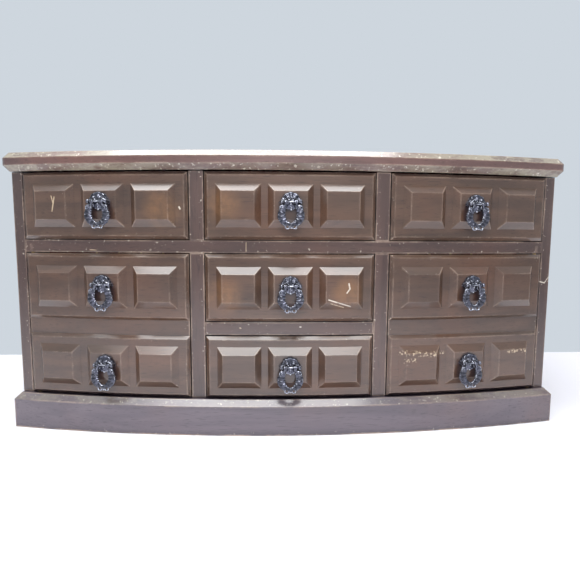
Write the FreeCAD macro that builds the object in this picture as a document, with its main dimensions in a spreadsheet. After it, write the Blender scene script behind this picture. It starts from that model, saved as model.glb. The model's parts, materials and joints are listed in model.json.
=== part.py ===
import FreeCAD, Part

import math
import os
import re

import Sketcher
from FreeCAD import Placement, Rotation, Vector

# Musical jewelry box with a bowed front: three columns of panelled fronts on a moulded plinth,
# under a hinged lid. Millimetres, +Z up, front towards -Y, origin at the bottom centre.

SIZES = {
    # case
    "case_half_width": 197.0,
    "case_depth": 188.0,
    "case_top": 184.0,
    "bow": 22.0,
    "side_thickness": 8.0,
    "back_thickness": 6.0,
    "shelf_thickness": 4.0,
    "partition_thickness": 6.0,
    "frame_thickness": 14.0,
    "mullion_width": 10.0,
    "mullion_from_middle": 64.5,
    "upper_rail_low": 128.0,
    "upper_rail_tall": 8.7,
    "lower_rail_low": 70.4,
    "lower_rail_tall": 9.4,
    "overrun": 5.0,
    # plinth
    "plinth_height": 25.0,
    "plinth_reach": 7.5,
    "plinth_side_reach": 3.5,
    "plinth_bevel": 4.0,
    "plinth_rail": 14.0,
    # lid and mirror
    "lid_gap": 0.3,
    "lid_thickness": 13.0,
    "lid_side_reach": 5.0,
    "lid_front_reach": 5.5,
    "lid_bevel": 4.0,
    "lid_corner": 5.0,
    "mirror_width": 300.0,
    "mirror_depth": 130.0,
    "mirror_thickness": 2.0,
    "mirror_recess": 2.5,
    "mirror_seat_gap": 0.2,
    # fronts
    "front_proud": 2.5,
    "front_gap": 0.7,
    "front_bevel": 2.2,
    "front_thickness": 12.0,
    "top_front_drop": 0.8,
    "band_recess": 2.6,
    "block_width": 32.8,
    "block_tall": 31.8,
    "block_slope": 4.1,
    "block_slope_tall": 5.0,
    "block_rise": 4.0,
    "block_root": 1.0,
    "block_pitch": 35.6,
    # doors
    "pivot_inset": 4.0,
    "pivot_depth": 4.5,
    "door_pin_radius": 1.2,
    "door_pin_grip": 6.0,
    "pin_end_gap": 0.3,
    "pin_hole_spare": 2.0,
    "running_gap": 0.05,
    # drawer boxes
    "box_side_gap": 0.9,
    "box_lift": 0.3,
    "box_wall": 4.0,
    "box_floor": 3.0,
    "box_back_gap": 2.0,
    "top_box_tall": 23.8,
    "middle_box_tall": 38.0,
    "bottom_box_tall": 34.0,
    "movement_room": 62.0,
    # tray and rolls
    "tray_low": 162.2,
    "tray_wall": 3.0,
    "tray_back_wall": 6.0,
    "tray_floor": 2.4,
    "tray_gap": 0.3,
    "tray_top_gap": 1.2,
    "tray_front_gap": 1.0,
    "ring_bay_half_width": 66.0,
    "ring_bay_front": 1.0,
    "roll_radius": 6.2,
    "roll_clear": 0.3,
    "roll_count": 5.0,
    "roll_end_gap": 0.5,
    # pulls
    "plate_thickness": 1.6,
    "plate_radius": 4.4,
    "plate_crown_radius": 7.2,
    "plate_low": 0.4,
    "plate_high": 2.6,
    "crown_dome_radius": 2.6,
    "crown_dome_up": 3.6,
    "crown_dome_rise": 1.5,
    "crown_taper": 0.6,
    "boss_radius": 1.9,
    "boss_width": 2.0,
    "boss_from_middle": 6.3,
    "ear_share": 0.8,
    "pivot_up": 2.2,
    "pivot_out": 3.9,
    "bail_pin_radius": 0.75,
    "bail_ring_radius": 7.1,
    "bail_wire": 1.25,
    "bail_band": 2.0,
    "bail_relief": 0.35,
    "bail_lobe_from_middle": 2.2,
    "bail_ring_low": 7.2,
    "bail_mouth": 3.2,
    "bail_leg_from_middle": 3.5,
    "bail_drop_radius": 1.7,
    "bail_leg_share": 0.9,
    "bail_knuckle_share": 1.1,
    "bail_lobe_share": 0.7,
    # hinges of the lid
    "hinge_from_middle": 120.0,
    "hinge_width": 26.0,
    "knuckle_radius": 2.2,
    "knuckle_stand": 2.5,
    "knuckle_gap": 0.3,
    "hinge_pin_radius": 1.0,
    "hinge_pin_proud": 0.5,
    "web_share": 0.9,
    "web_lift": 0.5,
    "leaf_thickness": 1.0,
    "leaf_tall": 10.0,
    # hooks in the side compartments
    "hook_radius": 0.9,
    "hook_drop": 9.0,
    "hook_reach": 6.0,
    "hook_pitch": 18.0,
    "hook_from_front": 46.0,
    "hook_count": 4.0,
    "hook_tip_share": 1.6,
    # music movement
    "bedplate_width": 62.0,
    "bedplate_tall": 24.0,
    "bedplate_thickness": 2.2,
    "bedplate_lift": 0.0,
    "barrel_from_middle": 12.0,
    "barrel_radius": 10.4,
    "barrel_length": 10.0,
    "barrel_gap": 0.4,
    "barrel_cap_share": 0.6,
    "barrel_cap": 1.2,
    "arbor_radius": 1.5,
    "key_hole_radius": 2.6,
    "key_stand": 5.0,
    "key_wing": 7.5,
    "key_lobe": 4.6,
    "key_wing_thickness": 2.4,
    "key_grip": 12.0,
    "key_stem_share": 1.9,
    "key_stem_short": 3.0,
    "key_web_start": 1.5,
    "key_socket": 3.0,
    "drum_radius": 5.6,
    "drum_length": 17.0,
    "drum_from_middle": 12.5,
    "drum_out": 9.4,
    "drum_up": 8.2,
    "drum_axle_radius": 1.0,
    "drum_cheek": 1.6,
    "drum_cheek_half": 3.0,
    "drum_side_gap": 0.4,
    "comb_gap": 0.35,
    "comb_teeth": 18.0,
    "comb_thickness": 1.0,
    "comb_tooth_share": 0.7,
    "comb_root_share": 0.55,
    "saddle_rise": 4.0,
    "governor_from_middle": 26.6,
    "wheel_radius": 3.4,
    "wheel_width": 1.2,
    "wheel_axle_radius": 0.7,
    "wheel_teeth": 14.0,
    "tooth_depth": 0.7,
    "fan_radius": 2.3,
    "fan_tall": 4.0,
    "fan_shaft_radius": 0.6,
    "fan_shaft_end": 0.5,
    "fan_blade_thickness": 0.5,
    "mesh_gap": 0.4,
    "bracket_gap": 1.2,
    "bracket_plate": 1.6,
    "bracket_shelf_reach": 1.6,
    "bracket_cheek_reach": 1.5,
    "screw_radius": 1.3,
    "screw_head": 1.2,
    "screw_inset": 3.0,
    "screw_from_edge": 2.0,
    "comb_screw_head": 1.0,
    "comb_screw_from_middle": 5.0,
    "rod_radius": 1.0,
    "finger_share": 0.6,
    "rod_from_middle": 33.5,
    "rod_clear": 0.4,
}

# Places worked out from the sizes, in the order in which they build on each other.
PLACES = {
    "bow_radius": "(case_half_width * case_half_width + bow * bow) / (2 * bow)",
    "pull_reach": "front_proud + block_rise + pivot_out + boss_radius",
    "front_reach": "bow + pull_reach",
    "back_reach": "key_stand + key_grip",
    "front_y": "(front_reach - case_depth - back_reach) / 2",
    "back_y": "front_y + case_depth",
    "bow_centre_y": "front_y - bow + bow_radius",
    "front_radius": "bow_radius + front_proud",
    "far_front_y": "front_y - front_reach - 4 * overrun",
    "inner_half_width": "case_half_width - side_thickness",
    "back_inner_y": "back_y - back_thickness",
    "column_inner": "mullion_from_middle + mullion_width / 2",
    "middle_half": "mullion_from_middle - mullion_width / 2",
    "side_middle": "(column_inner + inner_half_width) / 2",
    "upper_rail_top": "upper_rail_low + upper_rail_tall",
    "lower_rail_top": "lower_rail_low + lower_rail_tall",
    "floor_top": "plinth_height + shelf_thickness",
    "lid_low": "case_top + lid_gap",
    "lid_top": "lid_low + lid_thickness",
    "door_low": "plinth_height + front_gap",
    "door_high": "upper_rail_low - front_gap",
    "pivot_x": "inner_half_width - front_gap - pivot_inset",
    "pivot_y": "bow_centre_y - sqrt(front_radius * front_radius - pivot_x * pivot_x) + pivot_depth",
    "hinge_y": "back_y + knuckle_stand",
    "hinge_z": "case_top",
    "tray_radius": "bow_radius - frame_thickness - tray_front_gap",
    "tray_middle_y": "(front_y + back_inner_y) / 2",
    "ring_bay_y": "front_y + ring_bay_front",
    "movement_z": "upper_rail_top + bedplate_lift",
    "movement_mid_z": "movement_z + bedplate_tall / 2",
    "bed_face_y": "back_inner_y - bedplate_thickness",
    "drum_z": "movement_z + drum_up",
    "rod_y": "back_inner_y - tray_gap - tray_back_wall / 2",
    "fan_y": "drum_y - wheel_radius - fan_shaft_radius - mesh_gap",
    "fan_z": "drum_z + wheel_radius + mesh_gap",
    "drum_y": "bed_face_y - drum_out",
}

doc = FreeCAD.newDocument("jewelry_box")


def make_sheet(name, cells):
    sheet = doc.addObject("Spreadsheet::Sheet", name)
    for row, (alias, text) in enumerate(cells.items(), start=1):
        sheet.set(f"A{row}", alias)
        sheet.set(f"B{row}", text)
        sheet.setAlias(f"B{row}", alias)
    doc.recompute()
    return sheet


def refer(text):
    """An expression with each size or place named on its own sheet."""
    def on_sheet(match):
        word = match.group(0)
        if word in SIZES:
            return f"Sizes.{word}"
        if word in PLACES:
            return f"Places.{word}"
        return word
    return re.sub(r"[a-z][a-z_]*", on_sheet, text)


SIZE_SHEET = make_sheet("Sizes", {alias: str(value) for alias, value in SIZES.items()})
PLACE_SHEET = make_sheet("Places", {alias: "=" + refer(text) for alias, text in PLACES.items()})


def value(name):
    sheet = SIZE_SHEET if name in SIZES else PLACE_SHEET
    return float(sheet.get(name))


def bind(item, settings):
    for setting, text in settings.items():
        item.setExpression(setting, refer(str(text)))
    return item


def put(item, x=None, y=None, z=None):
    for axis, text in (("x", x), ("y", y), ("z", z)):
        if text is not None:
            bind(item, {f"Placement.Base.{axis}": text})
    return item


AXES = {
    "X": Rotation(Vector(0, 1, 0), 90),
    "Y": Rotation(Vector(1, 0, 0), -90),
    "Z": Rotation(),
}


def block(name, x, y, z):
    """A box between two expressions along each axis."""
    item = doc.addObject("Part::Box", name)
    bind(item, {
        "Length": f"({x[1]}) - ({x[0]})",
        "Width": f"({y[1]}) - ({y[0]})",
        "Height": f"({z[1]}) - ({z[0]})",
    })
    return put(item, x[0], y[0], z[0])


def rod(name, radius, length, centre, axis="Z"):
    """A cylinder that starts at centre and runs along axis."""
    item = doc.addObject("Part::Cylinder", name)
    item.Placement = Placement(Vector(), AXES[axis])
    bind(item, {"Radius": radius, "Height": length})
    return put(item, *centre)


def ball(name, radius, centre):
    item = doc.addObject("Part::Sphere", name)
    bind(item, {"Radius": radius})
    return put(item, *centre)


def join(name, *parts):
    item = doc.addObject("Part::MultiFuse", name)
    item.Shapes = list(parts)
    item.Refine = True
    return item


def cut(name, base, *tools):
    tool = tools[0] if len(tools) == 1 else join(name + "_tools", *tools)
    item = doc.addObject("Part::Cut", name)
    item.Base = base
    item.Tool = tool
    return item


def overlap(name, base, tool):
    item = doc.addObject("Part::Common", name)
    item.Base = base
    item.Tool = tool
    return item


def group(name, *parts):
    """Separate solids that share one node."""
    item = doc.addObject("Part::Compound", name)
    item.Links = list(parts)
    return item


def chamfer(name, base, size, chosen):
    """A bevel on each edge of base for which chosen(edge) holds."""
    doc.recompute()
    numbers = [i for i, edge in enumerate(base.Shape.Edges, start=1) if chosen(edge)]
    item = doc.addObject("Part::Chamfer", name)
    item.Base = base
    item.Edges = [(number, value(size), value(size)) for number in numbers]
    return item


def board(name, x, y, z):
    """A flat board as a body: a bound rectangle, padded to its height."""
    body = doc.addObject("PartDesign::Body", name)
    put(body, x[0], y[0], z[0])
    sketch = body.newObject("Sketcher::SketchObject", name + "_outline")
    plane = [p for p in body.Origin.OriginFeatures if p.Role == "XY_Plane"][0]
    sketch.AttachmentSupport = (plane, "")
    sketch.MapMode = "FlatFace"
    corners = [Vector(0, 0, 0), Vector(10, 0, 0), Vector(10, 10, 0), Vector(0, 10, 0)]
    for i in range(4):
        sketch.addGeometry(Part.LineSegment(corners[i], corners[(i + 1) % 4]), False)
    for i in range(4):
        sketch.addConstraint(Sketcher.Constraint("Coincident", i, 2, (i + 1) % 4, 1))
    for i in range(4):
        sketch.addConstraint(Sketcher.Constraint("Vertical" if i % 2 else "Horizontal", i))
    sketch.addConstraint(Sketcher.Constraint("Coincident", 0, 1, -1, 1))
    width = sketch.addConstraint(Sketcher.Constraint("DistanceX", 0, 1, 0, 2, 10.0))
    depth = sketch.addConstraint(Sketcher.Constraint("DistanceY", 1, 1, 1, 2, 10.0))
    bind(sketch, {
        f"Constraints[{width}]": f"({x[1]}) - ({x[0]})",
        f"Constraints[{depth}]": f"({y[1]}) - ({y[0]})",
    })
    pad = body.newObject("PartDesign::Pad", name + "_pad")
    pad.Profile = sketch
    bind(pad, {"Length": f"({z[1]}) - ({z[0]})"})
    return body


NODES = []


def node(name, item):
    item.Label = name
    NODES.append(item)
    return item


# How near, in millimetres, an edge must lie to a face to count as being on it.
NEAR = 0.01


def upright(edge):
    return abs(edge.Vertexes[0].Point.z - edge.Vertexes[-1].Point.z) > 1


# The bow: upright drums about one centre, each a reach further out than the face frame.

def bow_drum(name, radius):
    return rod(name, radius, "lid_top + 4 * overrun", ("0", "bow_centre_y", "-2 * overrun"))


frame_drum = bow_drum("frame_drum", "bow_radius")
frame_back_drum = bow_drum("frame_back_drum", "bow_radius - frame_thickness")
front_drum = bow_drum("front_drum", "front_radius")
front_back_drum = bow_drum("front_back_drum", "front_radius - front_thickness")
box_inner_drum = bow_drum("box_inner_drum", "front_radius - front_thickness - box_wall")
plinth_drum = bow_drum("plinth_drum", "bow_radius + plinth_reach")
plinth_back_drum = bow_drum("plinth_back_drum", "bow_radius + plinth_reach - plinth_rail")
lid_drum = bow_drum("lid_drum", "bow_radius + lid_front_reach")
band_drum = bow_drum("band_drum", "front_radius - band_recess")
tray_drum = bow_drum("tray_drum", "tray_radius")
tray_inner_drum = bow_drum("tray_inner_drum", "tray_radius - tray_wall")


def behind(name, x, back, z, drum):
    """A block whose front is sawn to a drum of the bow and whose back is flat."""
    return overlap(name, block(name + "_blank", x, ("far_front_y", back), z), drum)


def ribbon(name, x, z, outer, inner):
    """A bowed rail of even thickness, between two drums."""
    return cut(name, behind(name + "_whole", x, "front_y + frame_thickness + bow", z, outer), inner)


def at_bow(edge, radius):
    """True when the whole edge lies on the drum of that radius."""
    middle = edge.valueAt((edge.FirstParameter + edge.LastParameter) / 2)
    points = [v.Point for v in edge.Vertexes] + [middle]
    centre_y = value("bow_centre_y")
    return all(abs(math.hypot(p.x, p.y - centre_y) - radius) < NEAR for p in points)


# Plinth: a bowed front rail, two sides and a back rail, bevelled along the outer top edge.

def build_plinth():
    outer = "(case_half_width + plinth_side_reach)"
    height = ("0", "plinth_height")
    front = ribbon("plinth_front_bow", (f"-{outer}", outer), height, plinth_drum, plinth_back_drum)
    top = value("plinth_height")
    half = value("case_half_width") + value("plinth_side_reach")
    bow = value("bow_radius") + value("plinth_reach")

    def outer_top(edge):
        ends = [v.Point for v in edge.Vertexes]
        if any(abs(p.z - top) > NEAR for p in ends):
            return False
        return at_bow(edge, bow) or all(abs(abs(p.x) - half) < NEAR for p in ends)

    bevelled = chamfer("plinth_front_bevelled", front, "plinth_bevel", outer_top)
    sockets = [door_pin_solid(f"plinth_socket_{side}", sign, "bottom")
               for side, sign in (("left", "-"), ("right", ""))]
    node("plinth_front", cut("plinth_front", bevelled, *sockets))
    sides = []
    for side, low in (("left", f"-{outer}"), ("right", f"{outer} - plinth_rail")):
        blank = behind(f"plinth_{side}_bow", (low, f"{low} + plinth_rail"), "back_y", height,
                       plinth_back_drum)
        sides.append(chamfer(f"plinth_{side}", blank, "plinth_bevel", outer_top))
    node("plinth_sides", group("plinth_sides", *sides))
    inner = f"({outer} - plinth_rail)"
    node("plinth_back", board("plinth_back", (f"-{inner}", inner),
                              ("back_y - plinth_rail", "back_y"), height))


# Case: boards behind the face frame.

def behind_frame(name, x, z, back="back_inner_y"):
    return behind(name, x, back, z, frame_back_drum)


def build_case():
    full = ("-inner_half_width", "inner_half_width")
    node("bottom_board", behind_frame("bottom_board", full, ("plinth_height", "floor_top")))
    height = ("plinth_height", "case_top")
    sides = [
        behind_frame("side_panel_left", ("-case_half_width", "-inner_half_width"), height, "back_y"),
        behind_frame("side_panel_right", ("inner_half_width", "case_half_width"), height, "back_y"),
    ]
    node("side_panels", group("side_panels", *sides))
    back = board("back_panel_board", full, ("back_inner_y", "back_y"), height)
    hole = rod("key_hole", "key_hole_radius", "back_thickness + 2",
               ("-barrel_from_middle", "back_inner_y - 1", "movement_mid_z"), "Y")
    node("back_panel", cut("back_panel", back, hole))
    node("dust_board", behind_frame("dust_board", full,
                                    ("upper_rail_top - shelf_thickness", "upper_rail_top")))
    reach = "(mullion_from_middle - partition_thickness / 2)"
    node("drawer_shelf", behind_frame("drawer_shelf", (f"-{reach}", reach),
                                      ("lower_rail_top - shelf_thickness", "lower_rail_top")))
    levels = (("lower", "floor_top", "upper_rail_top - shelf_thickness"),
              ("upper", "upper_rail_top", "tray_low"))
    partitions = []
    for level, low, high in levels:
        for side, sign in (("left", "-"), ("right", "")):
            middle = f"{sign}mullion_from_middle"
            x = (f"{middle} - partition_thickness / 2", f"{middle} + partition_thickness / 2")
            partitions.append(behind_frame(f"partition_{level}_{side}", x, (low, high)))
    node("partitions", group("partitions", *partitions))


# Face frame: stiles, rails and mullions sawn to the bow.

def framed(name, x, z):
    return ribbon(name, x, z, frame_drum, frame_back_drum)


def build_face_frame():
    height = ("plinth_height", "case_top")
    stiles = [framed("end_stile_left", ("-case_half_width", "-inner_half_width"), height),
              framed("end_stile_right", ("inner_half_width", "case_half_width"), height)]
    node("end_stiles", group("end_stiles", *stiles))
    rail = framed("upper_rail_bow", ("-inner_half_width", "inner_half_width"),
                  ("upper_rail_low", "upper_rail_top"))
    sockets = [door_pin_solid(f"upper_socket_{side}", sign, "top")
               for side, sign in (("left", "-"), ("right", ""))]
    node("upper_rail", cut("upper_rail", rail, *sockets))
    node("lower_rail", framed("lower_rail", ("-middle_half", "middle_half"),
                              ("lower_rail_low", "lower_rail_top")))
    for level, z in (("upper", ("upper_rail_top", "case_top")),
                     ("lower", ("plinth_height", "upper_rail_low"))):
        pair = []
        for side, sign in (("left", "-"), ("right", "")):
            middle = f"{sign}mullion_from_middle"
            x = (f"{middle} - mullion_width / 2", f"{middle} + mullion_width / 2")
            pair.append(framed(f"mullion_{level}_{side}", x, z))
        node(f"mullions_{level}", group(f"mullions_{level}", *pair))


# Pivot pins of the doors: one up into the rail, one down into the plinth, on each side.

def door_pin_solid(name, sign, end):
    low = "door_high - door_pin_grip" if end == "top" else "door_low - door_pin_grip"
    return rod(name, "door_pin_radius", "2 * door_pin_grip", (f"{sign}pivot_x", "pivot_y", low))


def build_door_pins():
    pins = [door_pin_solid(f"door_pin_{side}_{end}", sign, end)
            for side, sign in (("left", "-"), ("right", "")) for end in ("top", "bottom")]
    node("door_pins", group("door_pins", *pins))


# Fronts: a bowed panel with a bevelled edge and three raised pyramids.

def raised_blocks(name, middle, level):
    """Three flat-topped pyramids, turned to lie along the bow."""
    found = []
    for i, shift in enumerate(("- block_pitch", "", "+ block_pitch")):
        place = f"({middle} {shift})"
        item = doc.addObject("Part::Wedge", f"{name}_block_{i}")
        item.Placement = Placement(Vector(), Rotation(Vector(0, 0, 1), 180))
        bind(item, {
            "Xmin": "-block_width / 2", "Xmax": "block_width / 2",
            "Zmin": "-block_tall / 2", "Zmax": "block_tall / 2",
            "Ymin": "-block_root", "Ymax": "block_rise",
            "X2min": "-block_width / 2 + block_slope * (1 + block_root / block_rise)",
            "X2max": "block_width / 2 - block_slope * (1 + block_root / block_rise)",
            "Z2min": "-block_tall / 2 + block_slope_tall * (1 + block_root / block_rise)",
            "Z2max": "block_tall / 2 - block_slope_tall * (1 + block_root / block_rise)",
            "Placement.Rotation.Angle": f"180 deg + asin({place} / front_radius)",
        })
        put(item, place, f"bow_centre_y - sqrt(front_radius * front_radius - {place} * {place})",
            level)
        found.append(item)
    return found


def bevelled_panel(name, x, z, bands=()):
    panel = ribbon(name + "_bow", x, z, front_drum, front_back_drum)
    for i, (low, high) in enumerate(bands):
        span = block(f"{name}_band_{i}", (f"({x[0]}) - overrun", f"({x[1]}) + overrun"),
                     ("far_front_y", "front_y + frame_thickness + bow"), (low, high))
        panel = cut(f"{name}_banded_{i}", panel, cut(f"{name}_band_tool_{i}", span, band_drum))
    radius = value("front_radius")

    across = chamfer(name + "_bevelled_across", panel, "front_bevel",
                     lambda edge: at_bow(edge, radius) and not upright(edge))
    return chamfer(name + "_bevelled", across, "front_bevel",
                   lambda edge: at_bow(edge, radius) and upright(edge))


COLUMNS = {
    "left": ("-inner_half_width", "-column_inner", "-side_middle"),
    "middle": ("-middle_half", "middle_half", "0"),
    "right": ("column_inner", "inner_half_width", "side_middle"),
}

TOP_ROW = ("upper_rail_top", "case_top - top_front_drop + front_gap", "upper_rail_top",
           "top_box_tall")

DRAWERS = {
    "top_left": ("left", *TOP_ROW, "back_inner_y"),
    "top_middle": ("middle", *TOP_ROW, "back_inner_y - movement_room"),
    "top_right": ("right", *TOP_ROW, "back_inner_y"),
    "centre": ("middle", "lower_rail_top", "upper_rail_low",
               "lower_rail_top", "middle_box_tall", "back_inner_y"),
    "bottom": ("middle", "plinth_height", "lower_rail_low",
               "floor_top", "bottom_box_tall", "back_inner_y"),
}


def build_drawer(name, column, low, high, runs_on, box_tall, back_limit):
    left, right, middle = COLUMNS[column]
    x = (f"{left} + front_gap", f"{right} - front_gap")
    z = (f"{low} + front_gap", f"{high} - front_gap")
    panel = bevelled_panel(f"{name}_panel", x, z)
    level = f"({low} + {high}) / 2"
    blocks = raised_blocks(name, middle, level)
    node(f"{name}_front", join(f"{name}_front", panel, *blocks))
    box_x = (f"{left} + box_side_gap", f"{right} - box_side_gap")
    box_back = f"{back_limit} - box_back_gap"
    box_z = (f"{runs_on} + box_lift", f"{runs_on} + box_lift + {box_tall}")
    outside = behind(f"{name}_box_outside", box_x, box_back, box_z, front_back_drum)
    inside = behind(f"{name}_box_inside", (f"{box_x[0]} + box_wall", f"{box_x[1]} - box_wall"),
                    f"{box_back} - box_wall", (f"{box_z[0]} + box_floor", f"{box_z[1]} + 1"),
                    box_inner_drum)
    node(f"{name}_box", cut(f"{name}_box", outside, inside))
    build_pull(name, middle, level)


def build_door(side):
    left, right, middle = COLUMNS[side]
    sign = "-" if side == "left" else ""
    panel = bevelled_panel(f"door_{side}_panel", (f"{left} + front_gap", f"{right} - front_gap"),
                           ("door_low", "door_high"),
                           bands=(("lower_rail_low - front_gap", "lower_rail_top + front_gap"),))
    levels = ("(plinth_height + lower_rail_low) / 2", "(lower_rail_top + upper_rail_low) / 2")
    blocks = []
    for i, level in enumerate(levels):
        blocks += raised_blocks(f"door_{side}_{i}", middle, level)
    whole = join(f"door_{side}_whole", panel, *blocks)
    bores = [rod(f"door_{side}_bore_{end}", "door_pin_radius + running_gap",
                 "door_pin_grip + pin_hole_spare",
                 (f"{sign}pivot_x", "pivot_y", low))
             for end, low in (("top", "door_high - door_pin_grip - pin_end_gap"),
                              ("bottom", "door_low - pin_hole_spare + pin_end_gap"))]
    node(f"door_{side}", cut(f"door_{side}", whole, *bores))
    plates = [pull_plate(f"door_{side}_plate_{i}", middle, level) for i, level in enumerate(levels)]
    node(f"door_{side}_plates", group(f"door_{side}_plates", *plates))
    for i, row in enumerate(("bottom", "centre")):
        node(f"{row}_{side}_bail", pull_bail(f"{row}_{side}_bail", middle, levels[i]))


# Pulls: a pear-shaped plate with a domed crown and two bored bosses, and a hanging bail.

def set_on_block(item, middle, level):
    """Moves a pull made at the origin, facing -Y, onto the flat of its block."""
    reach = "(front_radius + block_rise)"
    item.Placement = Placement(Vector(), Rotation(Vector(0, 0, 1), 1))
    bind(item, {"Placement.Rotation.Angle": f"asin({middle} / front_radius)"})
    return put(item, f"{middle} * {reach} / front_radius",
               f"bow_centre_y - sqrt(front_radius * front_radius - {middle} * {middle})"
               f" * {reach} / front_radius", level)


def pull_plate(name, middle, level):
    depth = "plate_thickness"
    pieces = [
        rod(name + "_lower", "plate_radius", depth, ("0", "-plate_thickness", "-plate_low"), "Y"),
        rod(name + "_upper", "plate_crown_radius", depth, ("0", "-plate_thickness", "plate_high"),
            "Y"),
    ]
    crown = doc.addObject("Part::Cone", name + "_crown")
    crown.Placement = Placement(Vector(), Rotation(Vector(1, 0, 0), 90))
    bind(crown, {"Radius1": "crown_dome_radius", "Radius2": "crown_dome_radius * crown_taper",
                 "Height": "plate_thickness + crown_dome_rise"})
    pieces.append(put(crown, "0", "0", "plate_high + crown_dome_up"))
    for side, start in (("left", "-boss_from_middle - boss_width / 2"),
                        ("right", "boss_from_middle - boss_width / 2")):
        pieces.append(rod(f"{name}_boss_{side}", "boss_radius", "boss_width",
                          (start, "-pivot_out", "pivot_up"), "X"))
        pieces.append(block(f"{name}_ear_{side}", (start, f"{start} + boss_width"),
                            ("-pivot_out", "-plate_thickness / 2"),
                            ("pivot_up - boss_radius * ear_share",
                             "pivot_up + boss_radius * ear_share")))
    whole = join(name + "_whole", *pieces)
    bore = rod(name + "_bore", "bail_pin_radius + running_gap", "2 * (boss_from_middle + overrun)",
               ("-boss_from_middle - overrun", "-pivot_out", "pivot_up"), "X")
    return set_on_block(cut(name, whole, bore), middle, level)


def pull_bail(name, middle, level):
    """A flat horseshoe below a pin, with a small drop and two lobes at the bottom."""
    front = "-pivot_out - bail_wire"
    depth = "2 * bail_wire"

    def disc(part, radius, x, z):
        return rod(f"{name}_{part}", radius, depth, (x, front, z), "Y")

    mouth = block(name + "_mouth", ("-bail_mouth", "bail_mouth"),
                  ("-pivot_out - overrun", "-pivot_out + overrun"),
                  ("-bail_ring_low", "pivot_up"))
    relief = rod(name + "_relief", "boss_radius + bail_relief", "3 * bail_ring_radius",
                 ("-1.5 * bail_ring_radius", "-pivot_out", "pivot_up"), "X")
    pieces = [
        cut(name + "_horseshoe", disc("ring", "bail_ring_radius + bail_band", "0", "-bail_ring_low"),
            disc("ring_hole", "bail_ring_radius - bail_band", "0", "-bail_ring_low"), mouth, relief),
        rod(name + "_pin", "bail_pin_radius", "2 * boss_from_middle + boss_width",
            ("-boss_from_middle - boss_width / 2", "-pivot_out", "pivot_up"), "X"),
        disc("drop", "bail_drop_radius", "0", "-bail_ring_low - bail_ring_radius"),
    ]
    knuckle = "bail_wire * bail_knuckle_share"
    leg_low = "(sqrt(bail_ring_radius * bail_ring_radius - bail_leg_from_middle" \
              " * bail_leg_from_middle) - bail_ring_low)"
    for side, place in (("left", "-bail_leg_from_middle"), ("right", "bail_leg_from_middle")):
        pieces.append(block(f"{name}_leg_{side}", (f"{place} - bail_wire", f"{place} + bail_wire"),
                            ("-pivot_out - bail_wire * bail_leg_share",
                             "-pivot_out + bail_wire * bail_leg_share"),
                            (leg_low, "pivot_up")))
        pieces.append(rod(f"{name}_knuckle_{side}", knuckle, f"2 * {knuckle}",
                          (f"{place} - {knuckle}", "-pivot_out", "pivot_up"), "X"))
        lobe_x = "-bail_lobe_from_middle" if side == "left" else "bail_lobe_from_middle"
        pieces.append(disc(f"lobe_{side}", "bail_drop_radius * bail_lobe_share", lobe_x,
                           "-bail_ring_low - bail_ring_radius - bail_drop_radius"))
    return set_on_block(join(name, *pieces), middle, level)


def build_pull(name, middle, level):
    node(f"{name}_plate", pull_plate(f"{name}_plate", middle, level))
    node(f"{name}_bail", pull_bail(f"{name}_bail", middle, level))


# Lid: a bowed board, rounded at its front corners and bevelled above and below.

def build_lid():
    half = "case_half_width + lid_side_reach"
    blank = overlap("lid_bow", block("lid_blank", (f"-({half})", half), ("far_front_y", "back_y"),
                                     ("lid_low", "lid_top")), lid_drum)
    doc.recompute()
    edge_x = value("case_half_width") + value("lid_side_reach")
    bow_r = value("bow_radius") + value("lid_front_reach")

    def front_corner(edge):
        ends = [v.Point for v in edge.Vertexes]
        return upright(edge) and abs(abs(ends[0].x) - edge_x) < NEAR and at_bow(edge, bow_r)

    rounded = doc.addObject("Part::Fillet", "lid_rounded")
    rounded.Base = blank
    rounded.Edges = [(i, value("lid_corner"), value("lid_corner"))
                     for i, edge in enumerate(blank.Shape.Edges, start=1) if front_corner(edge)]
    doc.recompute()
    back_y = value("back_y")

    def rim(edge):
        ends = [v.Point for v in edge.Vertexes]
        level = abs(ends[0].z - ends[-1].z) < NEAR
        at_back = all(abs(p.y - back_y) < NEAR for p in ends)
        return level and not at_back

    bevelled = chamfer("lid_bevelled", rounded, "lid_bevel", rim)
    mirror_x = ("-mirror_width / 2", "mirror_width / 2")
    mirror_mid = "(front_y + back_y) / 2"
    mirror_y = (f"{mirror_mid} - mirror_depth / 2", f"{mirror_mid} + mirror_depth / 2")
    recess = block("mirror_seat",
                   (f"{mirror_x[0]} - mirror_seat_gap", f"{mirror_x[1]} + mirror_seat_gap"),
                   (f"{mirror_y[0]} - mirror_seat_gap", f"{mirror_y[1]} + mirror_seat_gap"),
                   ("lid_low - 1", "lid_low + mirror_recess"))
    node("lid", cut("lid", bevelled, recess))
    node("lid_mirror", board("lid_mirror", mirror_x, mirror_y,
                             ("lid_low + mirror_recess - mirror_thickness",
                              "lid_low + mirror_recess")))


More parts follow.
